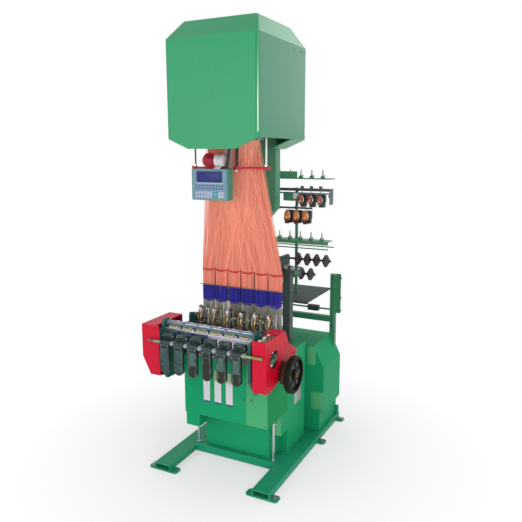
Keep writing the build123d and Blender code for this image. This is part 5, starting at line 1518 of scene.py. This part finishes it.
@dataclass
class WeavingUnits(Assembly):
    """The small mechanism of each unit: casting, reed wires, guides, eyelets, latch and levers."""

    reed_wires: int = 22
    reed_step: float = 2.3
    reed_wire: Point = (0.7, 82.0, 4.0)
    levers: int = 12
    springs: int = 5
    spring_turns: int = 9
    dice: random.Random = field(default_factory=lambda: random.Random(7))

    def build(self) -> None:
        """Finish the castings and add each unit's fine parts."""
        coated(UNIT_STEEL, "needle_units")
        draft = Draft("unit_mechanism", CHROME)
        spots = []
        for number, x in enumerate(unit_centres(), 1):
            self._unit(draft, x)
            spots += [((x + dx, -393, z), FRONT) for dx in (-30, 30) for z in (706, 748)]
            self.slats.dress(f"reed_wires_{number}", BARE_STEEL, "steel", (self.reed_wires, 1),
                             (self.reed_step, 0), self.reed_wire, 0.2, (x, -295, 838))
        draft.done("steel")
        self.screws.dress("unit_screws", spots, 3.6, Fastener.SOCKET, CHROME, 0.5)

    def _unit(self, draft: Draft, x: float) -> None:
        """One unit's brass guides, ceramic eyelets, latch needle, lever bank and springs.

        Args:
            draft: The piece that holds all units' parts.
            x: The unit's middle.
        """
        for start, reach, wire, y in ((12, 26, 3.2, -314), (26, -12, 1.9, -322)):
            curl = [(x + start + reach * math.sin(i / 12) + 7 * math.sin(i / 2.6), y + 7 * math.cos(i / 2.6),
                     846 + 7 * i) for i in range(19)]
            draft.put(tube(curl, wire, 7), finish=BRASS)
        tip = leaning(-22, "Y")
        draft.spun(((2, 0), (5, 4), (8, 16), (7, 24), (3, 28)), 14, (x + 34, -320, 950), CERAMIC, turn=tip)
        draft.spun(((6, 0), (8.6, 2), (8.6, 5), (6, 7)), 14, (x + 37, -320, 962),
                   self.dice.choice((TIE_RED, PINK_SHEEN_STEEL)), turn=tip)
        draft.spun(((2, 0), (4, 3), (5, 9), (3, 14)), 12, (x - 8, -322, 930), CREAM_BLOCK)
        self._lever_bank(draft, x)
        hook = [(x - 24, -392 + 3 * i, 792 + 3.4 * i + 14 * math.sin(i / 6)) for i in range(26)]
        draft.put(tube(hook, 2.2, 7))
        draft.block((18, 26, 10, 2), (x - 24, -380, 786), DARK_STEEL)
        draft.spun(((5, 0), (6, 1), (6, 12), (4, 14)), 14, (x + 24, -352, 846), TIE_RED)
        draft.spun(((4, 0), (4.5, 1), (4.5, 16), (3, 18)), 12, (x - 2, -382, 792), CREAM_BLOCK)
        draft.block((70, 8, 6, 1.5), (x, -330, 806))

    def _lever_bank(self, draft: Draft, x: float) -> None:
        """The bank of small levers behind the reed, each with its pin, and the springs on the hook bar.

        Args:
            draft: The piece that holds all units' parts.
            x: The unit's middle.
        """
        dice = self.dice
        for k in range(self.levers):
            at_x = x + 12 + 60 * (k / (self.levers - 1) - 0.5)
            tall = dice.uniform(80, 126)
            main = dice.choice((DARK_STEEL, BARE_STEEL, LEVER_BROWN, BARE_STEEL, CREAM_BLOCK, CHROME, BRASS,
                                CERAMIC))
            lean = leaning(dice.uniform(-7, 7), "X")
            draft.block((4.2, 20, tall, 1.2), (at_x, -252, 862 + tall / 2 - 14), main, lean)
            draft.block((3.4, 4, 9, 1.0), (at_x, -266, 880 + dice.uniform(0, 92)),
                        dice.choice((CHROME, CERAMIC, CREAM_BLOCK, PINK_SHEEN_STEEL)), lean)
            draft.spun(((1.6, 0), (3.2, 1), (3.2, 3), (1.6, 4)), 8, (at_x, -264, 876 + dice.uniform(0, 60)),
                       dice.choice((BRASS, CHROME, CERAMIC, CHROME)), Axis.Y)
        steps = 8 * self.spring_turns
        for k in range(self.springs):
            coil = [(x - 16 + 13 * k + 3.4 * cos, -234 + 3.4 * sin, 870 + 78 * i / steps)
                    for i, (cos, sin) in enumerate(around(8, steps + 1))]
            draft.put(tube(coil, 0.9, 5))
        draft.block((66, 5, 7, 1.5), (x + 10, -266, 905), BARE_STEEL)


@dataclass
class Harness(Assembly):
    """The harness cords from the head to the units, their red ties, the blue ends, heddles and warp."""

    bundle_y: float = -170.0
    tie_half: tuple[float, float] = (42.5, 16.5)
    tie_z: float = 1184.0
    tie_sag: float = 7.0
    rod_yz: tuple[float, float] = (-189.0, 1092.0)
    warp_ends: int = 20
    warp_width: float = 46.0

    def build(self) -> None:
        """Grow the cords, the blue ends and the heddles, in metres, and add the ties and the warp."""
        knee = StrandCurtain.LENGTHS.index("Knee Z")
        pitch = UNIT_PITCH * MM
        for name, finish, slot, node, counts, lengths in (
                ("harness_cords", SALMON, "harness_orange", "harness_fan", (UNITS, 260, 4, 11),
                 (pitch, 0.0412, 0.166, -0.265, 1.984, 1.19, 0.0404, -0.17, 1.085, 0.0, 0.022, 0.001)),
                ("blue_cord_ends", NAVY, "harness_blue", "blue_groups", (UNITS, 150, 5, 23),
                 (pitch, 0.0398, 0.2705, -0.17, 1.0865, 1.0855, 0.0394, -0.17, 0.985, 0.016, 0.03, 0.0015)),
                ("heddle_wires", HEDDLE, "harness_pale", "heddle_groups", (UNITS, 200, 4, 37),
                 (pitch, 0.0435, 0.2705, -0.17, 0.999, 0.998, 0.037, -0.17, 0.69, 0.0, 0.024, 0.0008))):
            values = dict(zip(StrandCurtain.COUNTS + StrandCurtain.LENGTHS, counts + lengths))
            piece = self.curtain.run(name, finish, values)
            if finish is not SALMON:  # The blue ends and the heddles are straight: they stop at the knee.
                trim_above(piece, lengths[knee])
            settle(piece, stands_for=(node,))
        self._ties()
        self._warp()

    def _ties(self) -> None:
        """The red band round the top of each bundle, the rod behind them and the dark strips between, which
        are painted shadow in the gaps between bundles.
        """
        ties = Draft("bundle_ties", TIE_RED)
        half_x, half_y = self.tie_half
        for x in unit_centres():
            band = [(x + half_x * cos, self.bundle_y + half_y * sin, self.tie_z + self.tie_sag * cos ** 2)
                    for cos, sin in around(32)]
            ties.put(tube(band, 3.0, 7, True, 1.7))
        # Dark strips in the gaps between bundles: painted shadow.
        for x in unit_edges()[1:-1]:
            ties.block((10, 4, 190, 1.5), (x, self.bundle_y + 4, 1086), NEAR_BLACK)
        rod = [(x, *self.rod_yz) for x in (-282, 280)]
        ties.put(tube(rod, 2.5), finish=DARK_STEEL).done("cord_red")

    def _warp(self) -> None:
        """The warp yarns that pass from the heddles through the reed to the beam in a flat ribbon."""
        warp = Draft("warp_yarns", WARP)
        for x in unit_centres():
            for k in range(self.warp_ends):
                dx = self.warp_width * (k / (self.warp_ends - 1) - 0.5)
                shed = 848 if k % 2 else 830
                warp.put(tube(((x + dx * 1.1, -182, shed), (x + dx, -298, 842), (x + dx, -392, 850),
                               (x + dx, -500, 884), (x + dx, -536, 931)), 0.55, 4))
        warp.done("harness_pale")


def trim_above(piece: bpy.types.Object, height: float) -> None:
    """Cut a strand mesh off above a height and close the strands' ends.

    Args:
        piece: The strands.
        height: The height in metres.
    """
    mesh = bmesh.new()
    mesh.from_mesh(piece.data)
    whole = mesh.verts[:] + mesh.edges[:] + mesh.faces[:]
    bmesh.ops.bisect_plane(mesh, geom=whole, plane_co=(0, 0, height), plane_no=(0, 0, 1), clear_outer=True)
    bmesh.ops.holes_fill(mesh, edges=[edge for edge in mesh.edges if edge.is_boundary], sides=8)
    mesh.to_mesh(piece.data)
    mesh.free()


@dataclass
class Head(Assembly):
    """The hood, the column, the dark posts and what shows under the hood."""

    column_y: float = 60.0

    def build(self) -> None:
        """Finish the nodes and add the cord board, the drive parts, the strip of painted highlight on the
        hood's edge and the bolts.
        """
        coated(HOOD_GREEN, "head_cover")
        coated(SPINE_GREEN, "gantry_spine")
        coated(NEAR_BLACK, "gantry_posts", "head_core")
        board = Draft("cord_board", CREAM_BLOCK).block((352, 60, 12, 2), (0, -265, 1976))
        for y in (-299, -231):
            board.block((360, 8, 18, 2), (0, y, 1974), BARE_STEEL)
        board.done("dark_grey")
        drive = Draft("feed_drive_parts", NEAR_BLACK)
        for x, y, z, radius, finish in (
                (228, 24, 1176, 20, RAIL_STEEL), (252, 22, 1196, 15, BARE_PLATE),
                (276, 24, 1170, 17, SPINE_GREEN), (206, 22, 1200, 13, BARE_PLATE),
                (246, 18, 1160, 11, RAIL_STEEL), (290, 22, 1196, 9, BARE_PLATE),
                (222, 18, 1214, 9, SPINE_GREEN)):
            disc = ((radius - 3, 0), (radius, 2), (radius, 8), (radius - 4, 10), (radius - 4, 26))
            drive.spun(disc, 14, (x, y, z), finish, Axis.Y)
        drive.block((104, 10, 62, 4), (246, 50, 1176)).block((6, 10, 70, 2), (212, 44, 1236))
        drive.done("dark_grey")
        low, high = box_mm("head_cover")
        # A thin strip along the hood's front right corner that carries the painted highlight line.
        edge, at = ((2.5, 0), (4, 4), (4, 486), (2.5, 490)), (high.x - 1, low.y + 1, 2004)
        Draft("hood_edge_highlight_strip", HOOD_EDGE_HIGHLIGHT).spun(edge, 14, at).done("machine_green")
        spots = [((x, y, z), way) for x, way in ((high.x, RIGHT), (low.x, LEFT))
                 for y in (-40, 50, 120) for z in (1990, 2470)]
        self.screws.dress("hood_screws", spots, 4.0, Fastener.PAN, HOOD_GREEN, 0.5, "machine_green")
        places = [(side * x, z) for side in SIDES for x in (45, 100) for z in (1950, 1620)]
        places += [(side * 40, z) for side in SIDES for z in (720, 1180)]
        spots = [((x, self.column_y, z), FRONT) for x, z in places]
        self.screws.dress("column_bolts", spots, 6.0, Fastener.HEX, SPINE_GREEN, 1.0, "frame_green")


@dataclass
class OperatorPanel(Assembly):
    """The operator panel's case, face, screen and keys."""

    columns: int = 10
    key_step: float = 19.0
    key_size: Point = (13.5, 14.0, 2.6)

    def build(self) -> None:
        """Finish the case and add the face, screen and keys."""
        coated(PANEL_GREEN, "control_panel")
        low, high = box_mm("control_panel")
        y, x, top = low.y, (low.x + high.x) / 2, low.z + 176
        face = Draft("panel_face", BEZEL).plate(224, 166, 6, 1.6, 0.5, (x, y, (low.z + top) / 2))
        face.plate(168, 62, 4, 1.4, 0.5, (x, y - 1.6, top - 44), RUBBER)
        face.plate(156, 50, 2, 1.0, 0.3, (x, y - 3.0, top - 44), SCREEN)
        face.block((176, 1.2, 4, 0.5), (x, y - 1.9, top - 80), KEY_LILAC)
        face.block((194, 1.0, 40, 0.4), (x, y - 1.7, top - 144), TEAL_STEEL).done("panel_grey")
        step = self.key_step
        for number, z, last in ((1, top - 134, KEY_LILAC), (2, top - 154, KEY_CREAM)):
            for start, count, finish in ((0, 6, KEY_LILAC), (6, 2, KEY_CYAN), (8, 2, last)):
                middle = x + step * (start + (count - 1) / 2 - (self.columns - 1) / 2)
                self.slats.dress(f"keys_{number}_{start}", finish, "panel_grey", (count, 1), (step, 0),
                                 self.key_size, 2.5, (middle, y - 1.6, z))
            self.slats.dress(f"key_marks_{number}", KEY_NAVY, "panel_grey", (self.columns, 1), (step, 0),
                             (5.0, 4.0, 0.6), 1.0, (x, y - 4.2, z + 1))
        self.slats.dress("lamp_keys", KEY_NAVY, "panel_grey", (self.columns, 2), (step, 15.0),
                         (9.0, 6.0, 1.6), 1.5, (x, y - 1.6, top - 102))


@dataclass
class SignalLamp(Assembly):
    """The signal lamp on its side, with a ribbed red lens."""

    bulb: float = 43.0
    overlap: float = 20.0
    rib: float = 1.0

    def build(self) -> None:
        """Replace the plain lamp with its turned lens, reflector, housing and bracket."""
        low, high = box_mm("lamp_dome")
        y, z, radius = (low.y + high.y) / 2, (low.z + high.z) / 2, (high.z - low.z) / 2
        profile = []
        for step in range(-7, 8):
            angle = math.radians(12 * step)
            profile.append(((radius - 1) * math.cos(angle) + (0.0 if step % 2 else self.rib),
                            self.bulb - self.overlap + self.bulb * math.sin(angle)))
        lens = Draft("lamp_lens", LAMP_RED).spun(tuple(profile), 48, (high.x, y, z), None, Axis.X, ABOUT_FACE)
        lens.done("lamp_red", stands_for=("lamp_dome",))
        side = ((20, -10), (24, 0), (24, 30), (16, 44), (6, 48))
        core = Draft("lamp_reflector", LAMP_CORE).spun(side, 24, (high.x, y, z), None, Axis.X, ABOUT_FACE)
        core.done("lamp_red")
        low, high = box_mm("lamp_body")
        size = high.x - low.x - self.overlap
        side = ((33, 0), (35, 1.5), (35, 10), (33, 12), (33, 34), (34, 36), (34, size - 6), (26, size))
        body = Draft("lamp_housing", LAMP_WHITE)
        body.spun(side, 44, (low.x + self.overlap, y, z), None, Axis.X)
        body.block((44, 28, 8, 1.5), (low.x + 30, y, low.z + 4), BARE_STEEL)
        body.block((40, 6, 30, 1.5), (low.x + 30, y + 8, low.z + 18), BARE_STEEL)
        body.done("lamp_white", stands_for=("lamp_body",))


@dataclass
class CordBar(Assembly):
    """The red bar in front of the harness, its hangers and the cables' ends."""

    hanger_x: float = 230.0
    cable_x: float = 43.5

    def build(self) -> None:
        """Finish the bar and cables and add the hangers, nuts and sleeves."""
        coated(BAR_RED, "cord_bar")
        coated(RUBBER, "panel_conduits")
        low, high = box_mm("cord_bar")
        y, z = (low.y + high.y) / 2, low.z + 11
        fittings = Draft("cord_bar_fittings", CHROME)
        for x, finish in ((-self.hanger_x, RAIL_STEEL), (self.hanger_x, CERAMIC)):
            fittings.spun(((5.2, -80), (5.2, 72)), 12, (x, y, z + 92), finish)
            fittings.spun(((9, -5), (9, 5)), 6, (x, y, z + 14))
        fittings.spun(((6, 0), (8, 2), (8, 9), (5, 11)), 14, (self.cable_x, y - 4, z - 20), CERAMIC)
        fittings.spun(((6.5, 0), (7.2, 1), (7.2, 22), (6.5, 23)), 14, (self.cable_x, y - 4, z - 8), RUBBER)
        fittings.done("bright_steel")


class FeederRow(Enum):
    """The rows of feeders: the drums' height, the first drum's X, the bar's height and the drums' shape.

    The shape is given as the drum's width and height over those of a round one.
    """

    UPPER = (1600.0, 197.0, 1653.0, 0.46, 1.16)
    LOWER = (1492.0, 102.0, 1536.0, 0.66, 1.3)


@dataclass
class Creel(Assembly):
    """The racks, pins, feeders and rollers behind the column."""

    rack_y: float = 300.0
    pins: int = 10
    pin_pitch: float = 75.0
    rack_tops: tuple[float, float] = (1736.0, 1335.0)
    feeders: int = 3
    feeder_pitch: float = 64.0

    def build(self) -> None:
        """Finish the nodes and add the pins' guides, the rails' parts and the feeders."""
        coated(SPINE_GREEN, "creel_posts", "pin_racks")
        coated(RAIL_STEEL, "spool_rack")
        coated(ROLLER, "feed_shaft_upper", "feed_shaft_lower")
        self._pins()
        self._rail_parts()
        feeders = Draft("yarn_feeders", CHROME)
        for row in FeederRow:
            for k in range(self.feeders):
                for side in SIDES:
                    self._feeder(feeders, side * (row.value[1] + self.feeder_pitch * k), row)
        feeders.done("feeder_black", stands_for=("weft_feeders",))

    def _pins(self) -> None:
        """The spring guide, clip and eyelet on each pin of both racks."""
        guides, y = Draft("pin_guides", BARE_STEEL), self.rack_y
        guide = ((9, 0), (9.5, 1), (9.5, 4), (6, 7), (5, 16), (4.6, 30), (3.9, 40))
        eyelet = ring(((3.4, -1.2), (6.2, -1.2), (6.8, 0), (6.2, 1.2), (3.4, 1.2)), 12)
        for top in self.rack_tops:
            for index in range(self.pins):
                x = self.pin_pitch * (index - (self.pins - 1) / 2)
                guides.spun(guide, 14, (x, y, top + 13.5))
                guides.block((9, 22, 5, 1.5), (x + 10, y - 3, top + 17), DARK_STEEL)
                guides.put(eyelet, (x + 10, y - 16, top + 18), CERAMIC, Axis.Y)
        guides.done("steel")

    def _rail_parts(self) -> None:
        """The round knobs along the feeder rail, the second rail of the pair and the boxes in its middle."""
        rail, y = Draft("feeder_rail", RAIL_STEEL), self.rack_y
        low, high = box_mm("spool_rack")
        for x in (197, 261, 325):
            for side in SIDES:
                rail.spun(((6, 0), (11, 3), (13, 8), (11, 13), (5, 15)), 18, (side * x, y, 1671))
        rail.block((high.x - low.x - 14, 8, 10, 2), (0, y - 16, 1640), TEAL_STEEL)
        for side in SIDES:
            lean = leaning(side * 14, "Y")
            rail.block((6, 30, 50, 2), (side * (high.x - 9), y - 6, 1640), TEAL_STEEL, lean)
        for side in SIDES:
            rail.block((84, 34, 58, 8), (side * 110, y, 1616), SPINE_GREEN)
            rail.block((26, 38, 40, 6), (side * 154, y - 4, 1622), LAMP_WHITE)
        rail.done("steel")

    def _feeder(self, draft: Draft, x: float, row: FeederRow) -> None:
        """One feeder below its bar: a case with a yarn drum in front of it and the yarn that leaves it.

        Args:
            draft: The piece that holds all feeders.
            x: The drum's middle.
            row: The feeder's row. An upper one feeds one yarn, a lower one five.
        """
        upper, y = row is FeederRow.UPPER, self.rack_y
        z, _, bar, wide, tall = row.value
        yarn, case = (COPPER_YARN, CASE_GREEN) if upper else (ORANGE_YARN, HOUSING_BLACK)
        oval = Matrix.Diagonal((wide, 1.0, tall, 1.0))
        draft.spun(((5, 0), (5, bar - z - 33)), 12, (x, y, z + 33))
        draft.block((52, 40, 56, 7, 3), (x, y + 21, z + 6), HOUSING_BLACK)
        draft.block((40, 34, 34, 6, 3), (x + 3, y + 20, z - 34), case)
        draft.block((16, 4, 9, 1.5), (x + 10, y + 41, z + 18), CERAMIC)
        draft.spun(((18, 0), (28, 1.5), (30, 4), (29, 7), (22, 8)), 30, (x, y - 8, z), HOUSING_BLACK, Axis.Y)
        layers = [point for i in range(7) for point in ((26.5, i * 4.0 + 1.0), (25.4, i * 4.0 + 3.2))]
        draft.spun(((22.0, 0.0), *layers, (22.0, 29.0)), 26, (x, y - 36, z), yarn, Axis.Y, oval)
        draft.spun(((6, 0), (10, 1), (21, 3), (22, 4.5), (18, 5.5)), 28, (x, y - 41, z), yarn, Axis.Y, oval)
        flyer = [(x + 26 * math.sin(0.35 * i), y - 39.5, z + 26 * math.cos(0.35 * i)) for i in range(10)]
        draft.put(tube(flyer, 1.3, 6))
        eyelet = ring(((3, -1.0), (6, -1.0), (6.8, 0), (6, 1.0), (3, 1.0)), 12)
        draft.put(eyelet, (x, y - 39.8, z - 8), CERAMIC, Axis.Y)
        if upper:
            draft.put(tube(((x, y - 39, z - 8), (x + 3, y - 39, z - 24), (x + 5, y - 38, z - 40)), 1.8, 5),
                      finish=yarn)
            return
        for k in range(-2, 3):
            path = ((x + 9 * k, y - 34, z - 12), (x + 5 * k, y - 36, z - 34), (x + 5 * k, y - 30, z - 51))
            draft.put(tube(path, 3.2, 6), finish=RUST_YARN)
        draft.spun(((12, 0), (16, 2), (16, 8), (12, 10)), 20, (x, y - 20, z - 52), HOUSING_BLACK)


@dataclass
class RearFrame(Assembly):
    """The rear posts, rails, tray and terminal blocks."""

    block_x: float = 190.0
    clamps: int = 5

    def build(self) -> None:
        """Finish the nodes and add bolts and terminal blocks."""
        coated(POST_GREEN, "rear_posts", "rear_rails")
        coated(DARK_GREY, "tray")
        outer = box_mm("rear_posts")[1].x
        spots = [((side * 336, 532.0, z), FRONT) for side in SIDES for z in (700, 747, 1040)]
        spots += [((side * outer, 565.0, z), (side, 0, 0)) for side in SIDES for z in (810, 900, 1040)]
        self.screws.dress("post_bolts", spots, 6.5, Fastener.HEX, BARE_STEEL, 1.4)
        blocks = Draft("terminal_blocks", RUBBER)
        for x in (-self.block_x, self.block_x):
            blocks.block((80, 38, 38, 4, 3), (x, 551, 814))
            for k in range(self.clamps):
                blocks.spun(((3, 0), (3, 2.5)), 10, (x - 28 + 14 * k, 532, 824), BRASS, Axis.Y, ABOUT_FACE)
        blocks.done("dark_grey")


@dataclass
class Drive(Assembly):
    """The handwheel, the shaft and the collar on it."""

    bosses: int = 6
    boss_circle: float = 58.0
    collar_x: float = 419.2

    def build(self) -> None:
        """Finish the wheel and shaft and add the brass hub, the wheel's bosses and the orange collar."""
        coated(WHEEL, "handwheel")
        coated(SHAFT, "main_shaft")
        low, high = box_mm("handwheel")
        y, z = (low.y + high.y) / 2, (low.z + high.z) / 2
        hub = Draft("handwheel_hub", BRASS)
        hub.spun(((11, 0), (12, 1), (12, 7), (9, 10.5)), 28, (high.x - 12, y, z), None, Axis.X)
        for cos, sin in around(self.bosses):
            at = (high.x - 24, y + self.boss_circle * cos, z + self.boss_circle * sin)
            hub.spun(((12, 0), (12.5, 1), (12.5, 3), (11, 4)), 20, at, HOUSING_BLACK, Axis.X)
        collar = ring(((40, 0), (57, 0), (58, 1), (57, 2.5), (40, 2.5)), 40)
        hub.put(collar, (self.collar_x, y, z), COLLAR_ORANGE, Axis.X).done("wheel_green", Body.HANDWHEEL)


@dataclass
class Tapes(Assembly):
    """The three woven tapes that hang in front of the door."""

    width: float = 46.0
    length: float = 206.0
    middle: float = -42.0
    pitch: float = 78.0
    low: float = 417.0
    back: float = -396.3
    thickness: float = 1.2
    columns: int = 12
    rows: int = 52

    def build(self) -> None:
        """Hang each tape as a thin sheet with a slight cup and a coloured end."""
        for index in range(3):
            piece = self._tape(index, self.middle + self.pitch * (index - 1))

    def _tape(self, index: int, x: float) -> bpy.types.Object:
        """One tape, hung on the door's face: two layers of a grid, joined around the rim.

        Args:
            index: The tape's number.
            x: Its middle.

        Returns:
            The tape.
        """
        columns, rows = self.columns, self.rows
        points = []
        for thick in (0.0, self.thickness):
            for j in range(rows + 1):
                wave = 0.5 * math.sin(j / 5.0 + index) * (1 - j / rows)
                for i in range(columns + 1):
                    u = 2 * i / columns - 1
                    y = self.back - 0.6 - thick - 0.5 * (1 - u * u) - abs(wave)
                    points.append((x + u * self.width / 2, y, self.low + self.length * j / rows))
        stride, layer = columns + 1, (columns + 1) * (rows + 1)
        faces = []
        for a in (j * stride + i for j in range(rows) for i in range(columns)):
            quad = (a, a + 1, a + 1 + stride, a + stride)
            faces += [tuple(reversed(quad)), tuple(layer + k for k in quad)]
        rim = list(range(stride)) + [j * stride + columns for j in range(1, rows + 1)]
        rim += [rows * stride + i for i in range(columns - 1, -1, -1)]
        rim += [j * stride for j in range(rows - 1, 0, -1)]
        faces += [(here, after, layer + after, layer + here) for here, after in zip(rim, rim[1:] + rim[:1])]
        tape = Draft(f"woven_tape_{index + 1}", TAPE).put((tuple(points), tuple(faces)))
        return tape.done("tape_fabric", stands_for=("woven_tapes",))


def main() -> None:
    """Build the studio and every assembly in order."""
    logging.basicConfig(level=logging.INFO, format="%(name)s: %(message)s")
    Studio().build()
    patterns = (FastenerField(), SlatRow(), StrandCurtain())
    for kind in (Housings, EndCovers, FrontBeam, PresserLevers, WeavingUnits, Harness, Head, OperatorPanel,
                 SignalLamp, CordBar, Creel, RearFrame, Drive, Tapes):
        kind(*patterns).build()
        log.info("%s done", kind.__name__)
    bpy.context.view_layer.update()
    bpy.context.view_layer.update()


if __name__ == "__main__":
    main()
